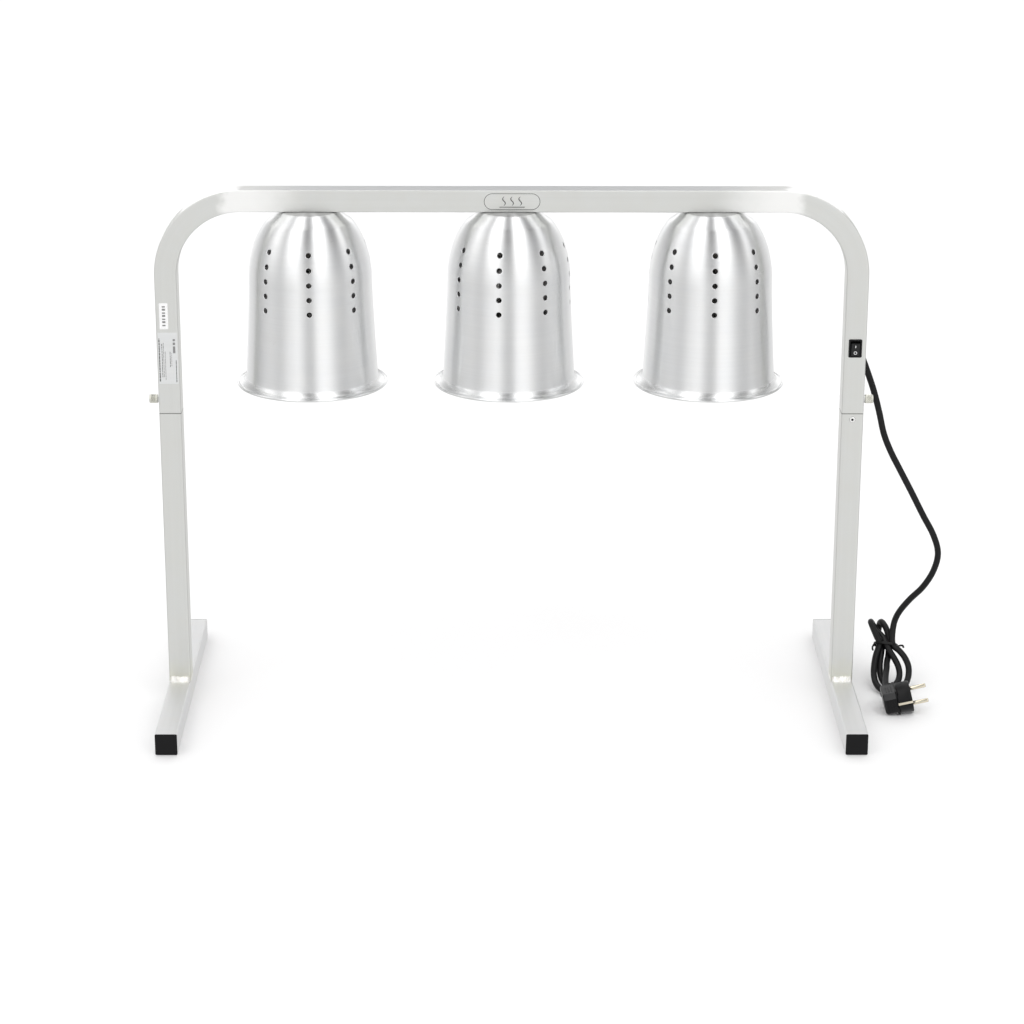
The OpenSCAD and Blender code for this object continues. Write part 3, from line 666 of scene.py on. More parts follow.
def bulb_glass():
    """Red lens below, silvered cone above."""
    m = Material("bulb_lens")
    _, _, z = m.split(m.coords())
    edge = box("left_bulb_glass")[0][2] + 0.036
    slow = m.noise(m.coords(), scale=60.0, rough=0.5)
    above = m.ease(m.add(z, m.spread(slow, -0.0006, 0.0006)), edge - 0.001, edge + 0.001)
    stipple = m.noise(m.coords(), scale=900.0, detail=2.0, rough=0.5)
    m.set(Base_Color=(0.42, 0.012, 0.010),
          Roughness=m.spread(stipple, 0.10, 0.16),
          Transmission_Weight=0.55,
          IOR=1.5,
          Coat_Weight=0.6,
          Normal=m.bump(stipple, 0.12, 0.00005))
    silver = m.node("ShaderNodeBsdfPrincipled", {
        "Base Color": (0.80, 0.79, 0.77), "Metallic": 1.0,
        "Roughness": m.spread(slow, 0.16, 0.26)})
    m.link(m.mix_shader(above, m.bsdf.outputs[0], silver.outputs[0]), m.output.inputs[0])


METAL = dict(metallic=1.0)
SLEEVING = dict(rough=0.5, grain=2500, vary=0.12, bump=0.3)
PRINT = dict(rough=0.55, grain=2500, vary=0.1)
PLAIN = {
    # painted shade: dark metal for the bevel at the seam on the legs and an outline round the rivet
    # heads
    "painted_edge_shade": dict(color=(0.20, 0.20, 0.19), rough=0.5, grain=2500, vary=0.15, bump=0.3, **METAL),
    "screw_nickel": dict(color=(0.70, 0.695, 0.63), rough=0.26, grain=1200, vary=0.05, bump=0.2,
                         **METAL),
    "rivet_steel": dict(color=(0.95, 0.95, 0.94), rough=0.28, grain=1500, vary=0.05, bump=0.2,
                        **METAL),
    # painted shade: near black inside the rivet's bore
    "painted_bore_shade": dict(color=(0.05, 0.05, 0.05), rough=0.7, metallic=0.4, grain=1500, vary=0.1),
    "cap_polythene": dict(color=(0.0055, 0.0055, 0.006), rough=0.46, grain=1400, vary=0.12,
                          bump=0.35, bump_depth=0.00006, spec=0.19),
    "switch_moulding": dict(color=(0.006, 0.006, 0.0065), rough=0.42, grain=2500, vary=0.1,
                            bump=0.3, bump_depth=0.00003, spec=0.22),
    "rocker_moulding": dict(color=(0.012, 0.012, 0.0125), rough=0.36, grain=3000, vary=0.1,
                            bump=0.25, bump_depth=0.00003, spec=0.3),
    "mark_white": dict(color=(0.86, 0.86, 0.86), rough=0.5, grain=3000, vary=0.03),
    "plug_pvc": dict(color=(0.006, 0.006, 0.0065), rough=0.36, grain=1600, vary=0.12, bump=0.3,
                     spec=0.22),
    "plug_pad": dict(color=(0.035, 0.035, 0.036), rough=0.5, grain=1600, vary=0.12, bump=0.3,
                     spec=0.35),
    "tie_plastic": dict(color=(0.005, 0.005, 0.005), rough=0.3, grain=2000, vary=0.1, spec=0.2),
    "grip_nylon": dict(color=(0.006, 0.006, 0.0065), rough=0.4, grain=2000, vary=0.1, bump=0.3,
                       spec=0.25),
    "filament_wire": dict(color=(0.45, 0.43, 0.40), rough=0.35, grain=3000, vary=0.08, **METAL),
    "porcelain_glaze": dict(color=(0.86, 0.84, 0.79), rough=0.22, grain=500, vary=0.03, bump=0.1,
                            coat=0.5),
    "live_sleeving": dict(color=(0.22, 0.085, 0.035), **SLEEVING),
    "neutral_sleeving": dict(color=(0.02, 0.07, 0.35), **SLEEVING),
    "earth_sleeving": dict(color=(0.22, 0.42, 0.04), **SLEEVING),
    "label_paper": dict(color=(0.84, 0.84, 0.84), rough=0.6, grain=2500, vary=0.015),
    "print_ink": dict(color=(0.06, 0.06, 0.06), **PRINT),
    "print_grey": dict(color=(0.22, 0.22, 0.22), **PRINT),
}
STREAKY = {
    "sleeve_drawn": dict(color=(0.62, 0.62, 0.61), rough=0.34, axis="Z"),
    "fastener_zinc": dict(color=(0.70, 0.70, 0.69), rough=0.30, axis="X", fine=2500.0),
    "pin_nickel": dict(color=(0.80, 0.74, 0.60), rough=0.22, axis="X", fine=2500.0, vary=0.05),
    "brass_part": dict(color=(0.83, 0.64, 0.30), rough=0.28, axis="Z", fine=2200.0, vary=0.07),
    "shell_metal": dict(color=(0.80, 0.78, 0.70), rough=0.30, axis="Z", fine=2200.0),
    "bulb_cap_metal": dict(color=(0.76, 0.75, 0.72), rough=0.26, axis="Z", fine=2200.0),
}
frame_metal()
welded_metal("leg_satin", (0.80, 0.804, 0.776), "Z", TUBE, straw_share=0.22, dark_share=0.5)
welded_metal("foot_satin", (0.80, 0.80, 0.795), "Y", HALF, straw_share=0.03, dark_share=0.15)
spun_metal("shade_spun", (0.885, 0.888, 0.885), rough=0.34, aniso=0.93)
# inside of the bells: rougher, and darker than the outside as painted shade
spun_metal("shade_inside", (0.80, 0.80, 0.795), rough=0.42, aniso=0.7)
weld_metal()
for name, look in PLAIN.items():
    plain(name, **look)
for name, look in STREAKY.items():
    streaky(name, **look)
cord_rubber()
brushed("label_foil", (0.90, 0.905, 0.90), rough=0.42, aniso=0.3, along=20, across=1500,
        streak=0.02, bump=0.05, rotate=0.0)
brushed("badge_plate", (0.84, 0.84, 0.81), rough=0.38, aniso=0.4, along=6, across=1600,
        streak=0.03, bump=0.08)
bulb_glass()

# ------------------------------------------------------------------ square tubes
WALL = 1.2 * MM
END_BEVEL = 0.45 * MM
TUBE_OUTSIDE = rounded_rect(TUBE, TUBE, 1.5 * MM)
TUBE_INSIDE = rounded_rect(TUBE - 2 * WALL, TUBE - 2 * WALL, 0.45 * MM)
TUBE_AROUND = run_length(np.vstack([TUBE_OUTSIDE, TUBE_OUTSIDE[:1]]))


def add_tube(shape, stations, run, dent=None, end_mat=0):
    """Closed hollow tube with bevelled ends.

    stations: (point, outward, lateral) along the tube; run: the distance at each.
    dent(station, a, c) moves a wall outward.
    """
    last = len(stations) - 1

    def ring(k, outline, scale=1.0, shift=0.0):
        point, outward, lateral = stations[k]
        return [point + shift + outward * (a * scale + (dent(k, a, c) if dent else 0.0))
                + lateral * c * scale for a, c in outline]
    points = [station[0] for station in stations]
    first_in = unit(points[1] - points[0]) * END_BEVEL
    last_in = -unit(points[-1] - points[-2]) * END_BEVEL
    inset = 1 - 2 * END_BEVEL / TUBE
    rows = [ring(0, TUBE_OUTSIDE, inset), ring(0, TUBE_OUTSIDE, shift=first_in)]
    rows += [ring(k, TUBE_OUTSIDE) for k in range(1, last)]
    rows += [ring(last, TUBE_OUTSIDE, shift=last_in), ring(last, TUBE_OUTSIDE, inset)]
    u = [run[0], run[0] + END_BEVEL, *run[1:-1], run[-1] - END_BEVEL, run[-1]]
    n = len(TUBE_OUTSIDE)
    outside = shape.grid(rows, u, TUBE_AROUND, close_j=True)
    shape.mats[-n:] = [end_mat] * n
    inner_rows = [ring(k, TUBE_INSIDE) for k in range(last + 1)]
    inside = shape.grid(inner_rows, run, TUBE_AROUND, close_j=True)
    ends = ((outside, inside), (outside + (len(rows) - 1) * n, inside + last * n))
    for j in range(n):
        j1 = (j + 1) % n
        v0, v1 = TUBE_AROUND[j], TUBE_AROUND[j1 or n]
        for outer, inner in ends:
            shape.face([outer + j, outer + j1, inner + j1, inner + j],
                       [(0, v0), (0, v1), (WALL, v1), (WALL, v0)])


def add_straight_tube(shape, start, end, outward, lateral, steps, end_mat=0):
    start, end = np.asarray(start, float), np.asarray(end, float)
    outward, lateral = np.asarray(outward, float), np.asarray(lateral, float)
    stations = [(start + (end - start) * k / steps, outward, lateral) for k in range(steps + 1)]
    length = np.linalg.norm(end - start)
    add_tube(shape, stations, [length * k / steps for k in range(steps + 1)], end_mat=end_mat)


LEG_STEPS, BEND_STEPS, BEAM_STEPS = 16, 40, 60


def frame_path():
    """(point, outward, bend share) up the left leg, along the beam, down the right leg."""
    radius = BEND - HALF
    left, right, height = LEFT_X - HALF + BEND, RIGHT_X + HALF - BEND, TOP - BEND
    lateral_free = []

    def station(x, z, outward, bend=0.0):
        lateral_free.append((np.array([x, 0, z]), np.array(outward), bend))

    def bend(x, direction):
        for k in range(1, BEND_STEPS + 1):
            angle = math.radians(90 * k / BEND_STEPS)
            out = direction(math.cos(angle), math.sin(angle))
            station(x + out[0] * radius, height + out[2] * radius, out,
                    math.sin(math.pi * k / BEND_STEPS))
    for k in range(LEG_STEPS + 1):
        station(LEFT_X, SEAM + (height - SEAM) * k / LEG_STEPS, [-1.0, 0, 0])
    bend(left, lambda cos, sin: [-cos, 0, sin])
    for k in range(1, BEAM_STEPS + 1):
        station(left + (right - left) * k / BEAM_STEPS, TOP - HALF, [0, 0, 1.0])
    bend(right, lambda cos, sin: [sin, 0, cos])
    for k in range(1, LEG_STEPS + 1):
        station(RIGHT_X, height - (height - SEAM) * k / LEG_STEPS, [1.0, 0, 0])
    return lateral_free


def upper_frame():
    path = frame_path()

    def dent(k, a, c):
        """Presses the outer and inner walls in a little at mid-face of the bends."""
        share = path[k][2]
        if share <= 0:
            return 0.0
        mid_face = max(0.0, 1 - (c / (HALF * 0.86)) ** 2)
        if a > HALF * 0.8:
            return -0.45 * MM * share * mid_face
        if a < -HALF * 0.8:
            return 0.35 * MM * share * mid_face
        return 0.0
    shape = Shape()
    lateral = np.array([0, 1.0, 0])
    add_tube(shape, [(point, outward, lateral) for point, outward, _ in path],
             run_length([point for point, _, _ in path]), dent=dent)
    cutters = [
        box_cutter((SWITCH_X - 6.5 * MM, -HALF - 3 * MM, SWITCH_Z - 9.65 * MM),
                   (SWITCH_X + 6.5 * MM, -HALF + 3 * MM, SWITCH_Z + 9.65 * MM)),
        drill((LEFT_X - HALF, 0, CLAMP_Z), (1, 0, 0), 3.05),
        drill((RIGHT_X + HALF, 0, CLAMP_Z), (1, 0, 0), 3.05),
        drill((RIGHT_X, HALF, GRIP_Z), (0, 1, 0), 6)]
    cutters += [drill((x, 0, BEAM), (0, 0, 1), 5.2, depth=2) for x in LAMP_X.values()]
    put(shape, "frame_tube", ["tube_satin"], "frame", "upper_frame",
        cutters=cutters)


# ------------------------------------------------------------------ stands
def rivet_place(side, x):
    """Centre of the rivet on the leg face it stands on, and that face's outward axis."""
    front = box(side + "_rivet")[0][1] < -HALF
    y = -HALF if front else HALF
    return (x, y, middle(side + "_rivet")[2]), (0, -1 if front else 1, 0)


def leg(side, x, outward):
    shape = Shape()
    # the bevel at the top end takes painted shade, a dark line at the seam
    add_straight_tube(shape, (x, 0, TUBE), (x, 0, SEAM), (outward, 0, 0), (0, 1, 0), 24,
                      end_mat=1)
    put(shape, "leg_tube_" + side, ["leg_satin", "painted_edge_shade"], side + "_stand",
        side + "_lower_leg",
        cutters=[drill(rivet_place(side, x)[0], (0, 1, 0), 2.05)])


def foot(side, x):
    low, high = box(side + "_foot")
    shape = Shape()
    add_straight_tube(shape, (x, low[1], HALF), (x, high[1], HALF), (0, 0, 1), (1, 0, 0), 28)
    put(shape, "foot_tube_" + side, ["foot_satin"], side + "_stand", side + "_foot")


def foot_cap(side, x, end):
    """End plug with a rounded flange outside the tube and a spigot inside it."""
    node = f"{side}_foot_cap_{end}"
    low, high = box(node)
    foot_low, foot_high = box(side + "_foot")
    front = end == "front"
    face_y = low[1] if front else high[1]
    inward = 1 if front else -1
    flange = ((foot_low[1] - low[1]) if front else (high[1] - foot_high[1])) / MM
    # mm: taken off the tube width, corner radius, depth from the outer face
    rings = [(1.5, 0.9, 0.0), (0.9, 1.2, 0.06 * flange), (0.4, 1.4, 0.22 * flange),
             (0.1, 1.5, 0.5 * flange), (0.1, 1.5, flange), (4.2, 0.8, flange),
             (4.6, 0.6, flange + 11.0), (6, 0.6, flange + 12.0)]
    rows = []
    for less, radius, depth in rings:
        width = TUBE - less * MM
        rows.append([(x + a, face_y + inward * depth * MM, HALF + c)
                     for a, c in rounded_rect(width, width, radius * MM, 5, 6)])
    n = len(rows[0])
    shape = Shape()
    base = shape.grid(rows, np.arange(len(rows)) * 0.001, np.arange(n + 1) * 0.001, close_j=True)
    # flat outer face: rings towards the middle
    face_outline = rounded_rect(TUBE - 1.5 * MM, TUBE - 1.5 * MM, 0.9 * MM, 5, 6)
    previous = base
    for share in (0.75, 0.5, 0.25):
        ring = shape.add([(x + a, face_y, HALF + c) for a, c in face_outline * share])
        for j in range(n):
            j1 = (j + 1) % n
            shape.face([previous + j, previous + j1, ring + j1, ring + j])
        previous = ring
    centre = shape.add([(x, face_y, HALF)])
    for j in range(n):
        shape.face([previous + j, previous + (j + 1) % n, centre])
    shape.cap(base + (len(rows) - 1) * n, n)
    put(shape, f"cap_{side}_{end}", ["cap_polythene"], side + "_stand", node,
        sharp=50)


def add_fillet(shape, leg_x, outward, facing, steps=90):
    """Rippled quarter-round weld across the front or rear of the leg."""
    length = TUBE - 2.2 * MM
    angles = [math.radians(90 * j / 10) for j in range(11)]
    rows, u = [], []
    for i in range(steps + 1):
        t = i / steps
        x = leg_x - length / 2 + length * t
        taper = min(1.0, min(t, 1 - t) * 12) ** 0.5
        lump = 1 + 0.07 * math.sin(9.0 * t + 1.1 + outward) + 0.05 * math.sin(23.0 * t + 2.0 * facing)
        lean = 1 - 0.16 * (0.5 - t) * outward
        row = []
        for a in angles:
            # ripples 2.3 mm apart, bowed and slightly uneven
            phase = (x - leg_x) / (2.3 * MM) + 0.5 * math.sin(2 * a) + 0.3 * math.sin(700 * x)
            ripple = abs(math.sin(math.pi * phase))
            size = ((1 - 0.17 * math.sin(2 * a)) * (0.95 + 0.05 * ripple)
                    * (0.55 + 0.45 * taper) * lump)
            row.append((x, facing * (HALF + 4.7 * MM * size * math.cos(a)),
                        TUBE + min(6.2, 5.8 * size * lean) * MM * math.sin(a)))
        # the back closes inside the tube wall
        row.append((x, facing * (HALF - 0.8 * MM), TUBE + 1.2 * MM))
        row.append((x, facing * (HALF - 0.8 * MM), TUBE - 0.4 * MM))
        rows.append(row)
        u.append(x)
    shape.bar(rows, u, [a * 0.003 for a in angles] + [0.006, 0.007, 0.008])


def add_side_band(shape, leg_x, outward, facing, steps=60):
    """Thin dressed weld along the left or right side of the leg."""
    length = TUBE - 3.2 * MM
    shares = [j / 8 for j in range(9)]
    rows, u = [], []
    for i in range(steps + 1):
        y = -length / 2 + length * (i / steps)
        ripple = abs(math.sin(math.pi * y / (1.6 * MM)))
        wobble = 0.35 * MM * math.sin(y * 900 + outward) + 0.2 * MM * math.sin(y * 2100)
        row = []
        for share in shares:
            proud = (0.12 + 0.26 * math.sin(math.pi * share) ** 0.7
                     * (0.75 + 0.25 * ripple)) * MM
            row.append((leg_x + facing * (HALF + proud), y,
                        TUBE + (-2.6 + 5.2 * share) * MM + wobble * (share - 0.5)))
        row.append((leg_x + facing * (HALF - 0.7 * MM), y, TUBE + 1.2 * MM))
        row.append((leg_x + facing * (HALF - 0.7 * MM), y, TUBE - 1.2 * MM))
        rows.append(row)
        u.append(y)
    shape.bar(rows, u, [share * 0.005 for share in shares] + [0.006, 0.007, 0.008])


def weld(side, x, outward):
    shape = Shape()
    for facing in (-1, 1):
        add_fillet(shape, x, outward, facing)
        add_side_band(shape, x, outward, facing)
    put(shape, "weld_" + side, ["weld_ripple"], side + "_stand", side + "_weld",
        sharp=60)


# mm: radius, height over the leg face. Hollow, domed head, then the shank behind the wall
RIVET = [[0, -3.0], [1.25, -3.0], [1.3, -2.6], [1.3, 0.45], [1.42, 0.68], [1.7, 0.84],
         [2.3, 0.88], [2.9, 0.74], [3.3, 0.46], [3.48, 0.18], [3.5, 0.0], [2.0, 0.0],
         [2.0, -1.6], [2.0, -2.8], [2.85, -3.1], [2.85, -4.1], [2.4, -4.35], [0, -4.4]]
# the bore faces take near-black painted shade; the head's outer rim takes painted shade as a dark
# outline
RIVET_MATS = [1] * 3 + [0] * 5 + [2] * 2 + [0] * 8


def rivet(side, x):
    shape = Shape()
    place, axis = rivet_place(side, x)
    shape.lathe(RIVET, place, axis, 56, mats=RIVET_MATS)
    put(shape, "rivet_" + side, ["rivet_steel", "painted_bore_shade", "painted_edge_shade"], side + "_stand",
        side + "_rivet", sharp=50)


def clamp_screw(side, x, outward):
    """Screw with a knurled head."""
    # mm: radius, height over the tube side
    shank = [[0, -1.3], [2.6, -1.3], [3.0, -1.0], [3.0, 1.95], [4.1, 2.1], [4.6, 2.2],
             [4.82, 2.5], [4.85, 2.95]]
    grip = [[5.0, 3.25 + (CLAMP_REACH - 4.35) * k / 14] for k in range(15)]
    # mm: radius, depth under the end of the head
    end = [[4.92, 0.85], [4.88, 0.45], [4.7, 0.12], [4.3, 0], [2.2, 0.05], [1.9, 0.3], [0, 0.35]]
    profile = shank + grip + [[r, CLAMP_REACH - depth] for r, depth in end]
    first, last = len(shank), len(shank) + len(grip) - 1

    def knurl(k, angle, r):
        if not first <= k <= last:
            return r
        fade = min(1.0, (k - first) / 1.5, (last - k) / 1.5)
        return r - 0.55 * MM * (0.5 - 0.5 * math.cos(26 * angle)) ** 0.8 * max(fade, 0.15)
    shape = Shape()
    shape.lathe(profile, (x + outward * HALF, 0, CLAMP_Z), (outward, 0, 0), 182, radial=knurl)
    put(shape, "clamp_screw_" + side, ["screw_nickel"], side + "_clamp",
        side + "_clamp_screw", sharp=60)


upper_frame()
for side, (leg_x, outward) in SIDES.items():
    leg(side, leg_x, outward)
    foot(side, leg_x)
    foot_cap(side, leg_x, "front")
    foot_cap(side, leg_x, "rear")
    weld(side, leg_x, outward)
    rivet(side, leg_x)
    clamp_screw(side, leg_x, outward)

# ------------------------------------------------------------------ shades (mm)
SHEET = 1.2
SHOULDER = 75                 # depth where the dome meets the wall
WALL_END = 183.0              # depth where the wall starts to flare into the lip
TURN_STEPS = 192
STEP = 360.0 / TURN_STEPS
COLUMNS = 8                   # columns of vents
COLUMN_STEPS = TURN_STEPS // COLUMNS
VENT_ROWS = 5
VENT_PITCH = 16.35
FIRST_VENT = 37               # depth of the first row
VENTS_TOP = FIRST_VENT - VENT_PITCH / 2
BLOCK = 8                     # cells across and down the square block round a vent
BLOCK_ROWS = VENT_ROWS * BLOCK
UV_RADIUS = 70 * MM
SHADE_TURN = {"left": 2.0, "centre": -9.5, "right": 0.0}    # degrees
# radius, sink into the sheet, roundness of the rings round a vent
VENT_RINGS = [(3.0, 0.34, 1.0), (3.12, 0.13, 1.0), (3.35, 0.03, 1.0), (3.8, 0.0, 1.0),
              (4.6, 0.0, 0.85), (5.8, 0.0, 0.45)]
# centre (radius, depth), radius and angles in degrees of the rolled edge
ROLL_CENTRE, ROLL_RADIUS = (83.8, 197.05), 1.5
ROLL_ANGLES = [148, 128, 108, 88, 66, 44, 22, 0, -22, -44, -66, -90, -114, -138, -160]


def bell_outline():
    """Outside of the bell as (radius, depth), from the flat top to the rolled edge."""
    points = [(28.3, 0.0), (30.0, 0.30), (32.2, 0.78)]
    for k in range(6, 61):
        v = (1 - (1 - k / 60) ** 1.6) * 0.9995
        if SHOULDER * v > 1.4:
            points.append((28 + 40.8 * (1 - (1 - v) ** 1.85) ** (1 / 1.85), SHOULDER * v))
    for k in range(1, 61):
        t = k / 60
        points.append((68.8 + 5.6 * t ** 1.3, SHOULDER + 112.9 * t))
    points = [p for p in points if p[1] < WALL_END]
    points += [(74.18, 184.5), (74.32, 187.0)]
    for degrees in range(12, 79, 6):
        a = math.radians(degrees)
        points.append((74.4 + 9.5 * (1 - math.cos(a)), 187.9 + 8.55 * math.sin(a)))
    return np.array(points)


def even_bell(count=700, passes=6, keep=12):
    """The outline at even spacing, smoothed but for its first points."""
    outline = bell_outline()
    run = run_length(outline)
    points = interp_rows(np.linspace(0, run[-1], count), run, outline)
    for _ in range(passes):
        smoothed = points.copy()
        smoothed[keep:-1] = (0.25 * points[keep - 1:-2] + 0.5 * points[keep:-1]
                             + 0.25 * points[keep + 1:])
        points = smoothed
    return points


BELL = even_bell()
BELL_DEPTH = BELL[:, 1]
BELL_RUN = run_length(BELL)
bell_tangent = np.gradient(BELL, axis=0)
bell_tangent /= np.linalg.norm(bell_tangent, axis=1)[:, None]
BELL_NORMAL = np.stack([bell_tangent[:, 1], -bell_tangent[:, 0]], 1)    # outward


def radius_at(depth):
    return np.interp(depth, BELL_DEPTH, BELL[:, 0])


def run_at(depth):
    return np.interp(depth, BELL_DEPTH, BELL_RUN)


def normal_at(depth):
    return interp_rows(depth, BELL_DEPTH, BELL_NORMAL)


def shade_profile():
    """Mesh rows as (radius, depth), their normals, and the row where the vents start."""
    up = np.array([0.0, -1.0])
    flat = [np.array([r, 0.0]) for r in (5.3, 9, 14, 19, 24, 27.6)]
    vent_depths = [VENTS_TOP + VENT_PITCH / BLOCK * j for j in range(BLOCK_ROWS + 1)]
    dome = [BELL[int(np.searchsorted(BELL_RUN, run_at(vent_depths[0]) * k / 22))]
            for k in range(22)]
    wall_end = run_at(WALL_END)
    lower_run = [*np.linspace(run_at(vent_depths[-1]), wall_end, 34)[1:],
                 *np.linspace(wall_end, BELL_RUN[-1], 22)[1:]]
    rows = flat + dome
    first_vent_row = len(rows)
    rows += [np.array([radius_at(d), d]) for d in vent_depths]
    rows += list(interp_rows(lower_run, BELL_RUN, BELL))
    normals = [up] * len(flat) + [normal_at(p[1]) if p[1] > 0.05 else up for p in dome]
    normals += [normal_at(d) for d in vent_depths]
    normals += list(interp_rows(lower_run, BELL_RUN, BELL_NORMAL))
    return np.array(rows), np.array([n / np.linalg.norm(n) for n in normals]), first_vent_row


def shade(side, x):
    rows, normals, vent_row = shade_profile()
    run = run_length(rows)
    last = len(rows) - 1
    shape = Shape()

    def point(radius, depth, degrees):
        a = math.radians(degrees + SHADE_TURN[side])
        return x + radius * MM * math.sin(a), -radius * MM * math.cos(a), BEAM - depth * MM

    def inside_block(i, j):
        row = j - vent_row
        return (0 < row < BLOCK_ROWS and row % BLOCK != 0
                and 1 <= (i + BLOCK // 2) % COLUMN_STEPS < BLOCK)

    def band(upper, lower, v0, v1, mat=0, blocks=False):
        """Faces between two rings, leaving out the vent blocks if asked."""
        for k in range(-TURN_STEPS // 2, TURN_STEPS // 2):
            if blocks and (k + BLOCK // 2) % COLUMN_STEPS < BLOCK:
                continue
            i, i1 = k % TURN_STEPS, (k + 1) % TURN_STEPS
            u0, u1 = math.radians(k * STEP) * UV_RADIUS, math.radians((k + 1) * STEP) * UV_RADIUS
            shape.face([upper[i], upper[i1], lower[i1], lower[i]],
                       [(u0, v0), (u1, v0), (u1, v1), (u0, v1)], mat)

    # outer and inner skins, open at the vent blocks
    skins = []
    for mat, offset in enumerate((0.0, SHEET)):
        rings = []
        for j in range(last + 1):
            r, d = rows[j] - normals[j] * offset
            rings.append([None if inside_block(i, j) else shape.add([point(r, d, i * STEP)])
                          for i in range(TURN_STEPS)])
        for j in range(last):
            band(rings[j], rings[j + 1], run[j] * MM, run[j + 1] * MM, mat,
                 blocks=0 <= j - vent_row < BLOCK_ROWS)
        skins.append(rings)

    # square blocks with a round vent, its edges rounded into the sheet
    half = BLOCK // 2
    border = [(-half, j) for j in range(BLOCK)] + [(i, BLOCK) for i in range(-half, half)]
    border += [(half, j) for j in range(BLOCK, 0, -1)] + [(i, 0) for i in range(half, -half, -1)]
    count = len(border)

    def vent(column, row):
        centre = FIRST_VENT + VENT_PITCH * row
        radius = radius_at(centre)
        across, down = math.radians(half * STEP) * radius, VENT_PITCH / 2
        square = np.array([(i / half * across, (j - half) / half * down) for i, j in border])
        angles = [math.atan2(w / down, a / across) for a, w in square]
        column_angle = column * 360 // COLUMNS
        openings = []
        for mat, offset in enumerate((0.0, SHEET)):
            previous = None
            for rho, sink, roundness in VENT_RINGS:
                inward = offset + (-sink if mat else sink)
                shrink = rho / (0.5 * (across + down))
                points, uvs = [], []
                for angle, corner in zip(angles, square):
                    circle = np.array([rho * math.cos(angle), rho * math.sin(angle)])
                    a, w = roundness * circle + (1 - roundness) * (corner * shrink)
                    depth = centre + w
                    degrees = column_angle + math.degrees(a / radius)
                    p = np.array([radius_at(depth), depth]) - normal_at(depth) * inward
                    points.append(point(p[0], p[1], degrees))
                    uvs.append((math.radians(degrees) * UV_RADIUS,
                                (run[vent_row] + run_at(depth) - run_at(VENTS_TOP)) * MM))
                start = shape.add(points)
                ring = [start + e for e in range(count)]
                if previous is None:
                    openings.append(ring)
                else:
                    join(previous, (ring, uvs), mat)
                previous = (ring, uvs)
            ring, uvs = [], []
            for i, j in border:
                level = vent_row + row * BLOCK + j
                ring.append(skins[mat][level][(column * COLUMN_STEPS + i) % TURN_STEPS])
                uvs.append((math.radians(column_angle + i * STEP) * UV_RADIUS, run[level] * MM))
            join(previous, (ring, uvs), mat)
        outer, inner = openings
        for e in range(count):
            e1 = (e + 1) % count
            shape.face([outer[e], outer[e1], inner[e1], inner[e]],
                       [(0, 0), (0.0006, 0), (0.0006, 0.001), (0, 0.001)], 1)

    def join(near, far, mat):
        (a, a_uv), (b, b_uv) = near, far
        for e in range(count):
            e1 = (e + 1) % count
            shape.face([a[e], a[e1], b[e1], b[e]], [a_uv[e], a_uv[e1], b_uv[e1], b_uv[e]], mat)

    for column in range(-COLUMNS // 2, COLUMNS // 2):
        for row in range(VENT_ROWS):
            vent(column, row)

    # wall of the hanger hole
    outer, inner = skins
    for i in range(TURN_STEPS):
        i1 = (i + 1) % TURN_STEPS
        shape.face([outer[0][i], outer[0][i1], inner[0][i1], inner[0][i]], None, 1)

    # rolled edge
    ring, v, at = outer[last], run[last], rows[last]
    for degrees in ROLL_ANGLES:
        a = math.radians(degrees)
        next_at = np.array([ROLL_CENTRE[0] + ROLL_RADIUS * math.cos(a),
                            ROLL_CENTRE[1] - ROLL_RADIUS * math.sin(a)])
        start = shape.add([point(*next_at, i * STEP) for i in range(TURN_STEPS)])
        next_ring = list(range(start, start + TURN_STEPS))
        next_v = v + np.linalg.norm(next_at - at)
        band(ring, next_ring, v * MM, next_v * MM)
        ring, v, at = next_ring, next_v, next_at
    band(ring, inner[last], v * MM, (v + 1) * MM)
    put(shape, "shade_" + side, ["shade_spun", "shade_inside"], "frame", side + "_shade",
        sharp=55)


for side, lamp_x in LAMP_X.items():
    shade(side, lamp_x)

# ------------------------------------------------------------------ switch
# mm: width, height, corner radius, y from the tube face. Body, flange, then the recess
BEZEL = [(12.9, 19.2, 0.8, 14.4), (12.9, 19.2, 0.8, 0.0), (15.0, 21.0, 1.3, 0.0),
         (15.0, 21.0, 1.3, -0.85), (14.8, 20.8, 1.25, -1.25), (14.3, 20.3, 1.1, -1.52),
         (13.7, 19.7, 1.0, -1.6), (11.5, 18.0, 0.9, -1.6), (10.9, 17.5, 0.8, -1.5),
         (10.3, 16.9, 0.6, -1.05), (10.0, 16.6, 0.5, -0.2), (10.0, 16.6, 0.5, 6.4)]
# mm: x, scale of the section there
ROCKER_SECTIONS = [(-4.7, 0.94), (-4.55, 0.98), (-4.2, 1.0), (-2.0, 1.0), (0.0, 1.0),
                   (2.0, 1.0), (4.2, 1.0), (4.55, 0.98), (4.7, 0.94)]
ROCKER_REACH = 7.35


def bezel():
    shape = Shape()
    shape.loft(np.array(BEZEL) * MM, lambda a, c, y: (SWITCH_X + a, -HALF + y, SWITCH_Z + c))
    put(shape, "switch_bezel", ["switch_moulding"], "frame", "switch_housing",
        sharp=40)


def rocker_face(z):
    """y in mm of the dished front at a height."""
    return -3.9 - 1.3 * (abs(z) / ROCKER_REACH) ** 1.25


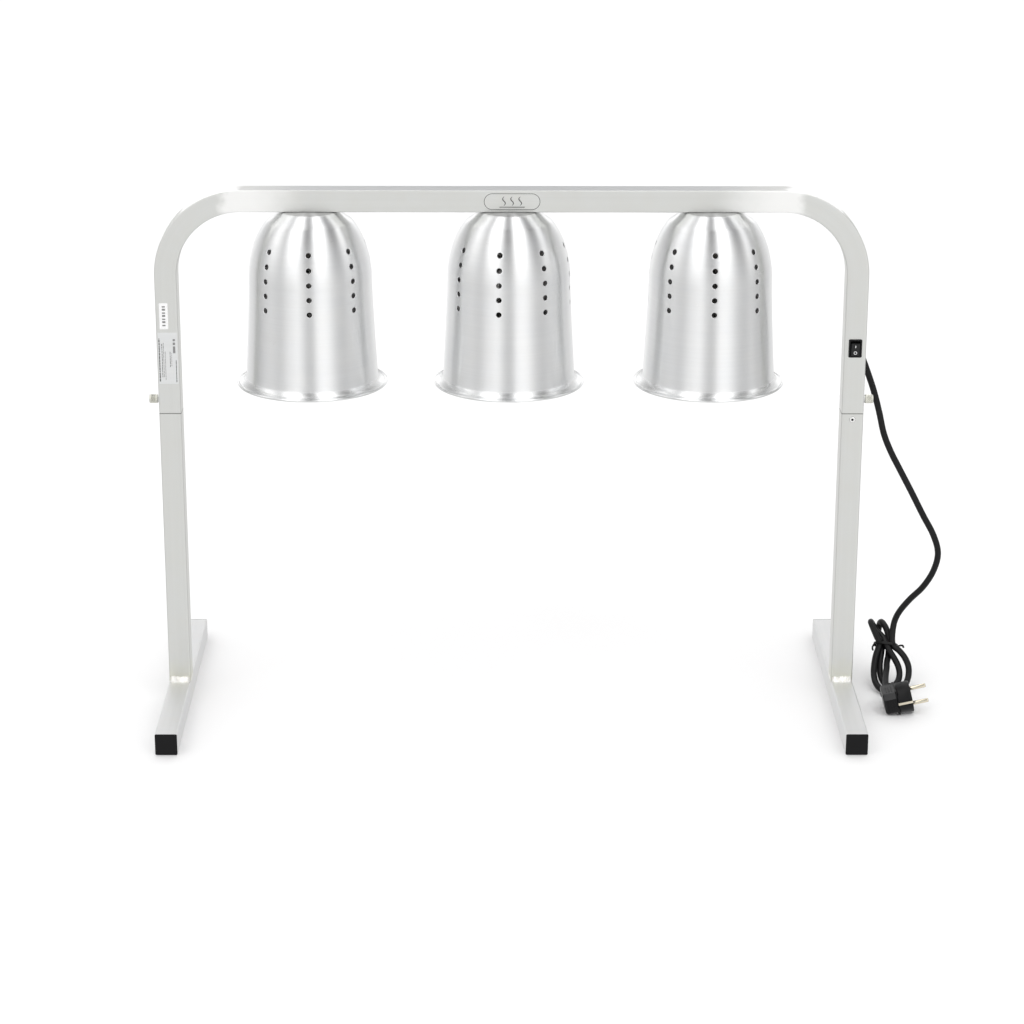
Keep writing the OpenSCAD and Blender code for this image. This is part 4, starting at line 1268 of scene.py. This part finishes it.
def add_bar_mark(shape):
    heights = np.linspace(2.3, 5.3, 5)
    start = len(shape.verts)
    for z in heights:
        y = rocker_face(z)
        shape.add([(-0.36 * MM, (y - 0.06) * MM, z * MM), (0.36 * MM, (y - 0.06) * MM, z * MM),
                   (0.36 * MM, (y + 0.3) * MM, z * MM), (-0.36 * MM, (y + 0.3) * MM, z * MM)])
    for ring in range(start, start + 4 * (len(heights) - 1), 4):
        for j in range(4):
            j1 = (j + 1) % 4
            shape.face([ring + j, ring + j1, ring + 4 + j1, ring + 4 + j], None, 1)
    for ring in (start, start + 4 * (len(heights) - 1)):
        shape.face([ring + j for j in range(4)], None, 1)


def add_ring_mark(shape, sides=32):
    rows = []
    for k in range(sides):
        a = TAU * k / sides
        row = []
        for radius, sink in ((1.8, -0.06), (1.8, 0.3), (1.28, 0.3), (1.28, -0.06)):
            x, z = radius * math.cos(a), -3.9 + radius * math.sin(a)
            row.append((x * MM, (rocker_face(z) + sink) * MM, z * MM))
        rows.append(row)
    shape.grid(rows, np.arange(sides + 1) * 0.0003, np.arange(5) * 0.0003,
               close_i=True, close_j=True, mat=1)


def rocker():
    """Tilted rocker on a pivot, with a bar above and a ring below standing just proud."""
    front = [(rocker_face(z), z) for z in np.linspace(-ROCKER_REACH, ROCKER_REACH, 19)]
    section = [(front[0][0] + 0.45, -7.4), *front, (front[-1][0] + 0.45, 7.4),
               (2.0, 6.2), (3.8, 0.0), (2.0, -6.2)]
    rows = [[(x * MM, (y if y > 0 else y + (1 - scale) * 3.0) * MM, z * scale * MM)
             for y, z in section] for x, scale in ROCKER_SECTIONS]
    shape = Shape()
    shape.bar(rows, np.arange(len(rows)) * 0.001, np.arange(len(section) + 1) * 0.001)
    shape.lathe([[0, -5.6], [1.0, -5.6], [1.0, 5.6], [0, 5.6]], (0, 0, 0), (1, 0, 0), 24)
    add_bar_mark(shape)
    add_ring_mark(shape)
    shape.move(Matrix.Translation(Vector((SWITCH_X, -HALF + 1.0 * MM, SWITCH_Z)))
               @ Matrix.Rotation(math.radians(10), 4, "X"))
    put(shape, "switch_rocker_cap", ["rocker_moulding", "mark_white"], "rocker",
        "switch_rocker", sharp=45)


# ------------------------------------------------------------------ cord
# x, y, z in mm, with the right leg at x = CORD_LEG_X
CORD_LEG_X = 387.5
CORD_ORIGIN = np.array([RIGHT_X - CORD_LEG_X * MM, 0, 0])
CORD_RADIUS = 3.72
CORD_REST = 3.9               # least height of the cord's centre
CORD_DROP = [       # out of the frame and down behind the leg
    [387.5, 6, 452], [387.5, 18, 452], [387.5, 27, 452], [387.5, 32, 452], [389.5, 41, 446],
    [392.5, 46, 431], [400, 45, 411], [409, 43, 388], [418, 43, 363], [425.5, 44, 337],
    [432, 45, 311], [441, 47, 289], [453, 50, 266], [468.5, 53, 237], [484, 56, 207],
    [498, 59, 181], [505, 62, 157], [501, 66, 133], [490, 69, 112], [476, 73, 95],
    [464, 76, 77], [458.2, 74, 61.5], [455.8, 58.8, 43.7]]
CORD_LOOPS = [      # two loops through the tie, then on to the plug
    [463, 51, 38], [469.5, 44, 31], [473, 36, 22], [471, 25, 12.5], [464, 13, 6],
    [452, 6, 4.2], [440, 8, 4.2], [433, 19, 8], [431.5, 34, 16], [434.5, 48, 30],
    [440.2, 58.8, 43.7], [437.8, 66.5, 49.6], [434.8, 75, 56], [432.6, 82.4, 60.9],
    [433, 88.6, 60.6], [435.8, 90.6, 55.6], [439.2, 86.5, 50.8], [443, 78.5, 48.6],
    [446.2, 69.5, 47], [448, 58.8, 43.7], [451.5, 51.5, 37.5], [457, 45, 30],
    [461, 38.5, 22.5], [461.8, 31, 15.5], [459, 23, 10], [452.5, 17, 6.5], [444.5, 20, 6.8],
    [440, 32, 12], [440, 46, 22], [444, 63.2, 38.3], [443.2, 76, 40.2], [442.6, 87.5, 43.6],
    [443.6, 95.2, 48.6], [444.8, 97.4, 54.2], [445.9, 93.4, 58.6], [448, 87, 58.2],
    [450.8, 79.5, 54.4], [452.6, 71.8, 47.2], [452, 63.2, 38.3], [450.8, 54.5, 30.2],
    [448, 44, 25.5], [446.3, 32, 23.2], [444, 20, 21.5], [441.5, 4, 18.5], [440.5, -9.5, 16]]


def cord():
    curve = catmull(CORD_DROP + CORD_LOOPS, 10)
    # even spacing, about 1.6 mm, keeps the jacket round
    run = run_length(curve)
    curve = interp_rows(np.linspace(0, run[-1], int(run[-1] / 1.6)), run, curve)
    for _ in range(2):
        smoothed = curve.copy()
        smoothed[1:-1] = 0.25 * curve[:-2] + 0.5 * curve[1:-1] + 0.25 * curve[2:]
        smoothed[:12] = curve[:12]
        curve = smoothed
    curve[:, 2] = np.maximum(curve[:, 2], CORD_REST)
    shape = Shape()
    shape.sweep(curve * MM + CORD_ORIGIN, CORD_RADIUS * MM, 20)
    made = make_object(shape, "power_cord", ["cord_jacket"], 60)
    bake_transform(made)
    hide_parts("power_cord_upper", "power_cord_lower")


def gland():
    """Strain relief with six ribs, on the rear face of the right leg."""
    profile = [[3.8, -3.0], [5.8, -3.0], [5.8, 0.0], [7.6, 0.0], [7.95, 0.35], [8.0, 0.8],
               [7.95, 2.4], [7.6, 2.9], [6.9, 3.0]]
    for k in range(6):
        height, radius = 3.0 + 1.8 * k, 6.35 - 0.19 * k
        profile += [[radius, height + 0.15], [radius, height + 1.05],
                    [radius - 0.65, height + 1.2], [radius - 0.65, height + 1.65]]
    profile += [[5.2, 13.8], [5.0, 14.0], [4.2, 14.0], [3.85, 13.7]]
    shape = Shape()
    shape.lathe(profile, (RIGHT_X, HALF, GRIP_Z), (0, 1, 0), 48, closed=True)
    put(shape, "cord_gland", ["grip_nylon"], "frame", "cord_grip", sharp=35)


# mm: outward, across; section of the tie strip
TIE_SECTION = [(0.28, -1.5), (0.40, -1.1), (0.24, -0.6), (0.5, 0.0), (0.24, 0.6), (0.40, 1.1),
               (0.28, 1.5), (-0.34, 1.5), (-0.4, 0.0), (-0.34, -1.5)]
TIE_STRAIGHT, TIE_RADIUS = 11.6, 8.5
# the two ends of the tie, in cord coordinates
TIE_TAILS = (
    [[461.6, 61, 38.9], [463, 60.8, 39.8], [465.6, 60, 41], [468, 58, 41.6], [468.6, 55.5, 40.2]],
    [[437.6, 56.6, 46.4], [436, 56.2, 45.9], [433.4, 55.6, 44.2], [431.4, 54.2, 41],
     [431.8, 52.4, 38]])


def stadium(s):
    """Centre x and angle of the radius at a distance s round two half circles and two flats."""
    arc = math.pi * TIE_RADIUS
    if s < TIE_STRAIGHT:
        return s - TIE_STRAIGHT / 2, -math.pi / 2
    if s < TIE_STRAIGHT + arc:
        return TIE_STRAIGHT / 2, -math.pi / 2 + (s - TIE_STRAIGHT) / TIE_RADIUS
    if s < TIE_STRAIGHT * 2 + arc:
        return TIE_STRAIGHT / 2 - (s - TIE_STRAIGHT - arc), math.pi / 2
    return -TIE_STRAIGHT / 2, math.pi / 2 + (s - TIE_STRAIGHT * 2 - arc) / TIE_RADIUS


def tie(steps=96):
    """Strip round the bundle of cord, with twisted two-strand tails."""
    around = TIE_STRAIGHT * 2 + TAU * TIE_RADIUS
    rows = []
    for k in range(steps):
        centre, a = stadium(k / steps * around)
        rows.append([((centre + (TIE_RADIUS + out) * math.cos(a)) * MM,
                      (TIE_RADIUS + out) * math.sin(a) * MM, across * MM)
                     for out, across in TIE_SECTION])
    shape = Shape()
    shape.grid(rows, np.arange(steps + 1) * 0.0007, np.arange(len(TIE_SECTION) + 1) * 0.0006,
               close_i=True, close_j=True)
    shape.move(Matrix.Translation(Vector(from_mid(448, 61, 41.2)))
               @ (Matrix.Rotation(math.radians(8), 4, "Y")
                  @ Matrix.Rotation(math.radians(-38), 4, "X")))
    strand = 0.60
    for tail in TIE_TAILS:
        core = catmull(tail, 14)
        for phase in (0, math.pi):
            twisted = []
            for i, centre in enumerate(core):
                along = unit(core[min(i + 1, len(core) - 1)] - core[max(i - 1, 0)])
                side = unit(np.cross(along, [0, 0, 1]))
                other = np.cross(along, side)
                a = phase + i * 0.62
                twisted.append(centre + strand * (math.cos(a) * side + math.sin(a) * other))
            shape.sweep(np.array(twisted) * MM + CORD_ORIGIN, strand * MM, 8)
    put(shape, "cord_twist_tie", ["tie_plastic"], "right_stand", "cord_tie",
        sharp=60)


# ------------------------------------------------------------------ plug
# In mm about the collar's face before it is placed: pins along +x, cord leaving along +y
PLUG_PLACE = (Matrix.Translation(Vector(from_mid(465.2, -43, 18.6)))
              @ Matrix.Rotation(math.radians(-13), 4, "Y"))
COLLAR = [[0, 0.9], [6.8, 0.9], [7.2, 0.5], [16.2, 0.45], [16.7, 0.0], [17.3, 0.05],
          [17.9, 0.35], [18.3, 0.95], [18.4, 1.8], [18.4, 10.5], [18.25, 11.0], [18.25, 14.5],
          [18.0, 15.6], [17.2, 16.7], [15.8, 17.4], [14, 17.5], [0, 17.5]]
PIN = [[0, -9], [1.9, -9], [1.9, -0.2], [2.3, -0.2], [2.4, 0.1], [2.4, 17.6], [2.34, 18.1],
       [2.1, 18.6], [1.6, 18.95], [0.8, 19.0], [0, 19.0]]
PLUG_REST = 0.25              # least height of the moulding


def earth_groove(k, angle, r):
    """Flat-bottomed grooves along the collar for the two earth strips."""
    if r > 17 * MM and abs(r * math.cos(angle)) < 2.3 * MM:
        return 17.15 * MM / abs(math.sin(angle))
    return r


def plug():
    shape = Shape()
    shape.lathe(COLLAR, (0, 0, 0), (-1, 0, 0), 216, radial=earth_groove)
    shape.soft_box([-33, -16.9, -11.2], [-15.8, 15, 15.3], 3.6, steps=5)
    shape.soft_box([-19.2, -16, -14], [-16, 15, 16], 1.3, steps=4)
    # ribbed boot round the cord
    boot = [[0, 0], [8.4, 0.0], [8.4, 1.0], [7.9, 3.5], [7.2, 7.5], [6.6, 10.0], [5.5, 10.15],
            [5.4, 10.9]]
    for k in range(4):
        height, radius = 11.0 + 2.0 * k, 6.1 - 0.28 * k
        boot += [[radius, height + 0.1], [radius, height + 1.15],
                 [radius - 0.75, height + 1.3], [radius - 0.75, height + 1.85]]
    boot += [[4.9, 19.0], [4.5, 19.2], [3.9, 19.2], [3.9, 12.0], [0, 12.0]]
    shape.lathe(boot, np.array([-25.4, 13.8, 3.2]) * MM, (0, 1, 0), 40)
    # pad over the front upper edge, with ribs on the front and the top
    shape.soft_box([-31.8, -16.6, 14.6], [-18.4, 9, 15.75], 0.5, mat=1)
    shape.soft_box([-31.8, -17.35, 7.4], [-18.4, -16.2, 15.4], 0.5, mat=1)
    for k in range(5):
        shape.soft_box([-31.2 + k * 3, -17.6, -6], [-29.7 + k * 3, -16.2, 7.2], 0.5)
    for k in (1, 2, 3):
        shape.soft_box([-31.1 + k * 3, -13, 15.3], [-29.9 + k * 3, 5, 16.05], 0.3)
    shape.move(PLUG_PLACE)
    # flattened where it rests on the floor
    shape.verts = [(x, y, max(z, PLUG_REST * MM)) for x, y, z in shape.verts]
    put(shape, "plug_moulding", ["plug_pvc", "plug_pad"], "right_stand", "plug_body",
        sharp=50)


def plug_metal():
    """Two round pins, and an earth strip above and below."""
    pins, strips = Shape(), Shape()
    for sign in (-1, 1):
        pins.lathe(PIN, np.array([0, 0, sign * 9.5]) * MM, (1, 0, 0), 36)
        strips.soft_box([-16.9, sign * 17.7 - 0.45, -1.5], [0.1, sign * 17.7 + 0.45, 1.5], 0.3)
    for shape, name, node in ((pins, "plug_contact_pins", "plug_pins"),
                              (strips, "plug_earth_clips", "plug_earth_strips")):
        shape.move(PLUG_PLACE)
        put(shape, name, ["pin_nickel"], "right_stand", node, sharp=40)


# ------------------------------------------------------------------ labels and badge
LABEL_THICK = (box("rating_label")[1] - box("rating_label")[0])[1]
# mm about the label's centre: x, bottom, top, width, material of the broken rules
RULES = [(-9.6, -27, 23, 1.2, 1), (-6.6, -22, 17, 0.7, 1), (-4.9, -22, 18, 0.6, 2),
         (-3.1, -25, 8, 0.6, 2), (2.4, -10, 8, 0.6, 1), (4.0, -9, 6, 0.5, 2),
         (9.0, -28, -2, 0.8, 1)]
# mm: less width and height, less corner radius; then share of thickness, mm below that
BADGE_RINGS = [(0, 0, 0, 0), (0, 0, 0.6, 0), (0.3, 0.15, 0.92, 0), (0.7, 0.35, 1, 0),
               (1.5, 0.75, 1, 0), (1.55, 0.78, 1, 0.12), (2.7, 1.35, 1, 0.12),
               (2.75, 1.38, 1, 0.02)]


def add_plate(shape, node, radius):
    """Thin plate on the front face of the tube; returns its centre x and z."""
    low, high = box(node)
    x, _, z = middle(node)
    width, height = high[0] - low[0], high[2] - low[2]
    thick = LABEL_THICK
    rings = [(width, height, radius, 0.0), (width, height, radius, -thick * 0.7),
             (width - 0.12 * thick, height - 0.12 * thick, radius, -thick)]
    shape.loft(rings, lambda a, c, y: (x + a, -HALF + y, z + c), corner_steps=4, side_steps=3)
    return x, z


def add_print(shape, centre, face_y, x_span, z_span, mat=1, proud=0.03, sunk=0.05):
    """Printed block just proud of a face; spans in mm about the centre."""
    x, z = centre
    shape.hard_box((x + x_span[0] * MM, face_y - proud * MM, z + z_span[0] * MM),
                   (x + x_span[1] * MM, face_y + sunk * MM, z + z_span[1] * MM), mat)


def rating_label():
    """Foil label with plain rules broken into dashes, and three blocks."""
    shape = Shape()
    centre = add_plate(shape, "rating_label", 0.8 * MM)
    face_y = -HALF - LABEL_THICK
    rng = np.random.default_rng(7)
    for x, bottom, top, width, mat in RULES:
        z = bottom
        while z < top:
            end = min(top, z + float(rng.uniform(1.4, 4.2)))
            add_print(shape, centre, face_y, (x - width / 2, x + width / 2), (z, end), mat)
            z = end + float(rng.uniform(0.35, 0.7))
    for z_span in ((6, 14), (15.5, 18.5), (20, 22.5)):
        add_print(shape, centre, face_y, (5.8, 8.4), z_span, 2)
    put(shape, "label_rating", ["label_foil", "print_ink", "print_grey"], "frame",
        "rating_label", sharp=30)


def small_label():
    shape = Shape()
    centre = add_plate(shape, "small_label", 0.6 * MM)
    for k in range(7):
        z = -11.5 + 3.6 * k
        add_print(shape, centre, -HALF - LABEL_THICK, (-1.7, 1.9),
                  (z, z + (2.3 if k % 2 else 1.6)))
    put(shape, "label_small", ["label_paper", "print_grey"], "frame", "small_label",
        sharp=30)


def badge(steps=24):
    """Round-ended plate with an inked groove and a heat sign: three waves over a bar."""
    low, high = box("badge")
    x, _, z = middle("badge")
    width, thick, height = high - low
    radius = height / 2 - 0.001 * MM
    shape = Shape()
    rings = [(width - less * MM, height - less * MM, radius - less_radius * MM,
              -thick * share + sunk * MM) for less, less_radius, share, sunk in BADGE_RINGS]
    shape.loft(rings, lambda a, c, y: (x + a, -HALF + y, z + c),
               mats=[0, 0, 0, 0, 1, 1, 0, 0], corner_steps=16, side_steps=8)
    face_y = -HALF - thick
    front, back = face_y - 0.04 * MM, face_y + 0.1 * MM
    for wave_x in (-9, 0, 9):
        rows = []
        for k in range(steps + 1):
            half = 0.75 * (1 - 0.55 * abs(k / steps - 0.5) * 2)
            across = wave_x + 1.5 * math.sin(TAU * k / steps)
            left, right = x + (across - half) * MM, x + (across + half) * MM
            up = z + (-5 + 10 * k / steps + 0.6) * MM
            rows.append([(left, front, up), (right, front, up),
                         (right, back, up), (left, back, up)])
        shape.bar(rows, np.arange(steps + 1) * 0.0004, np.arange(5) * 0.0004, mat=1)
    add_print(shape, (x, z), face_y, (-14, 14), (-6.6, -5.8), proud=0.04, sunk=0.1)
    put(shape, "badge_plate", ["badge_plate", "print_ink"], "frame", "badge",
        sharp=30)


bezel()
rocker()
cord()
gland()
tie()
plug()
plug_metal()
rating_label()
small_label()
badge()

# ------------------------------------------------------------------ CAD pieces that stay
KEPT = {
    "left_sleeve": "sleeve_drawn", "right_sleeve": "sleeve_drawn",
    "clamp_bosses": "fastener_zinc", "beam_nuts": "fastener_zinc", "shade_nuts": "fastener_zinc",
    "hanger_nipples": "brass_part", "centre_contacts": "brass_part", "switch_tabs": "brass_part",
    "terminal_screws": "brass_part", "terminal_block": "porcelain_glaze",
    "live_wire": "live_sleeving", "neutral_wire": "neutral_sleeving",
    "earth_wire": "earth_sleeving", "switch_leads": "live_sleeving",
}
LAMP_PARTS = {"_lampholder": "porcelain_glaze", "_screw_shell": "shell_metal",
              "_bulb_glass": "bulb_lens", "_bulb_cap": "bulb_cap_metal",
              "_filament": "filament_wire"}
for side in LAMP_X:
    KEPT.update({side + part: material for part, material in LAMP_PARTS.items()})
for node, material in KEPT.items():
    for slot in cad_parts[node].material_slots:
        slot.material = MATERIALS[material]

# ------------------------------------------------------------------ studio
scene = bpy.context.scene
scene.view_settings.view_transform = "Standard"
scene.view_settings.look = "None"
scene.view_settings.exposure = 0.0

PITCH, ROLL, YAW = (math.radians(a) for a in (18.818, -0.127, 0.353))
VIEW = np.array([math.sin(YAW) * math.cos(PITCH), math.cos(YAW) * math.cos(PITCH),
                 -math.sin(PITCH)])


def camera():
    data = bpy.data.cameras.new("camera")
    made = bpy.data.objects.new("camera", data)
    scene.collection.objects.link(made)
    data.sensor_width = 36.0
    data.lens = 102.1359375
    data.clip_start, data.clip_end = 0.05, 100.0
    level = np.array([math.cos(YAW), -math.sin(YAW), 0])
    below = np.cross(VIEW, level)
    right = math.cos(ROLL) * level + math.sin(ROLL) * below
    down = -math.sin(ROLL) * level + math.cos(ROLL) * below
    place = from_mid(-18.8, -3171.6, 1310.6)
    rows = [(right[k], -down[k], -VIEW[k], place[k]) for k in range(3)]
    made.matrix_world = Matrix((*rows, (0, 0, 0, 1)))
    scene.camera = made


def floor():
    """Wide pale sheet just under the feet."""
    shape = Shape()
    xs, ys = np.linspace(-14, 14, 24), np.linspace(-7, 24, 24)
    shape.grid([[(MID + x, y, -0.0004) for y in ys] for x in xs], xs, ys)
    m = Material("floor_paper")
    patches = m.noise(m.coords(), scale=3.0, detail=2.0, rough=0.5)
    m.set(Base_Color=m.mix(m.spread(patches, 0.0, 1.0), (0.905, 0.905, 0.905),
                           (0.915, 0.915, 0.918)),
          Roughness=0.75,
          Specular_IOR_Level=0.15)
    made = make_object(shape, "studio_floor", ["floor_paper"])
    # reflections see the world below the horizon instead
    made.visible_glossy = False


# azimuth in degrees, brightness. Overhead: strips with dark gaps
STRIPS_HIGH = [
    (-122, 0.14), (-104, 1.5), (-88, 1.5), (-76, 0.76), (-66, 0.58), (-58, 0.49), (-52, 0.60),
    (-45, 1.05), (-41, 1.30), (-36, 1.15), (-28, 0.72), (-20, 1.5), (-12, 1.5), (-7, 0.90),
    (-4, 0.45), (-1, 0.42), (3, 0.62), (7, 1.5), (17, 1.5), (21, 0.98), (26, 0.54), (31, 0.44),
    (35, 0.62), (39, 1.2), (43, 1.25), (47, 0.56), (53, 0.46), (66, 0.72), (75, 0.80),
    (87, 1.5), (104, 1.5), (122, 0.14)]
# level with the lamps and below: softer
STRIPS_LOW = [
    (-100, 0.92), (-82, 1.02), (-75, 0.87), (-66, 0.82), (-60, 0.62), (-55, 0.56), (-50, 0.67),
    (-25, 0.67), (-20, 0.72), (-15, 0.80), (-11, 0.98), (-8, 0.98), (-4, 0.86), (0, 0.72),
    (4, 0.78), (7, 0.98), (13, 1.0), (20, 0.90), (25, 0.79), (32, 0.72), (40, 0.65),
    (45, 0.60), (50, 0.68), (55, 0.60), (62, 0.65), (70, 0.79), (80, 0.89), (100, 0.92)]


def strip_ramp(w, position, stops):
    ramp = w.node("ShaderNodeValToRGB", {0: position})
    ramp.color_ramp.interpolation = "LINEAR"
    elements = ramp.color_ramp.elements
    while len(elements) > 1:
        elements.remove(elements[-1])
    for k, (degrees, value) in enumerate(stops):
        place = degrees / 360 + 0.5
        element = elements[0] if k == 0 else elements.new(place)
        element.position = place
        element.color = (value, value, value, 1)
    return ramp.outputs[0]


def studio_world():
    """Strip lights for reflections; even light for diffuse rays; white for the camera."""
    world = bpy.data.worlds.new("studio")
    scene.world = world
    world.use_nodes = True
    w = Nodes(world.node_tree)
    output = w.node("ShaderNodeOutputWorld")
    direction = w.coords("Generated")
    # azimuth halfway between the reflected ray and the way back to the camera
    x, y, _ = w.split(w.vector_math("ADD", direction, tuple(-VIEW)))
    azimuth = w.math("ARCTAN2", x, w.mul(y, -1.0))
    position = w.add(w.math("DIVIDE", w.mul(azimuth, 180 / math.pi), 360.0), 0.5, clamp=True)
    high = strip_ramp(w, position, STRIPS_HIGH)
    low = strip_ramp(w, position, STRIPS_LOW)
    _, _, height = w.split(direction)
    room = w.mix(w.ease(height, -0.02, 0.28), low, high)
    # straight overhead the strips stand out most
    contrast = w.ease(height, 0.42, 0.85, 1.0, 1.9)
    glossy = w.node("ShaderNodeBackground")
    w.link(w.math("POWER", room, contrast), glossy.inputs[0])
    diffuse = w.node("ShaderNodeBackground", {0: (1.0, 1.0, 1.0), 1: 1.10})
    backdrop = w.node("ShaderNodeBackground", {0: (1.0, 1.0, 1.0), 1: 1.0})
    ray = w.node("ShaderNodeLightPath")
    lit = w.mix_shader(ray.outputs["Is Diffuse Ray"], glossy.outputs[0], diffuse.outputs[0])
    seen = w.mix_shader(ray.outputs["Is Camera Ray"], lit, backdrop.outputs[0])
    w.link(seen, output.inputs[0])


def area_light(name, place, width, depth, power):
    """Soft light aimed low at the middle, unseen by camera and reflections."""
    data = bpy.data.lights.new(name, "AREA")
    data.shape, data.size, data.size_y, data.energy = "RECTANGLE", width, depth, power
    made = bpy.data.objects.new(name, data)
    scene.collection.objects.link(made)
    made.location = place
    aim = Vector((MID, 0, 0.2)) - Vector(place)
    made.rotation_euler = aim.to_track_quat("-Z", "Y").to_euler()
    made.visible_glossy = False
    made.visible_camera = False


camera()
floor()
studio_world()
area_light("soft_left", (MID - 1.3, -1.5, 2.6), width=1.2, depth=1.2, power=5)
area_light("soft_right", (MID + 1.3, -1.5, 2.6), width=1.2, depth=1.2, power=5)
area_light("soft_back", (MID, 1.9, 2.4), width=1.4, depth=1.0, power=3)
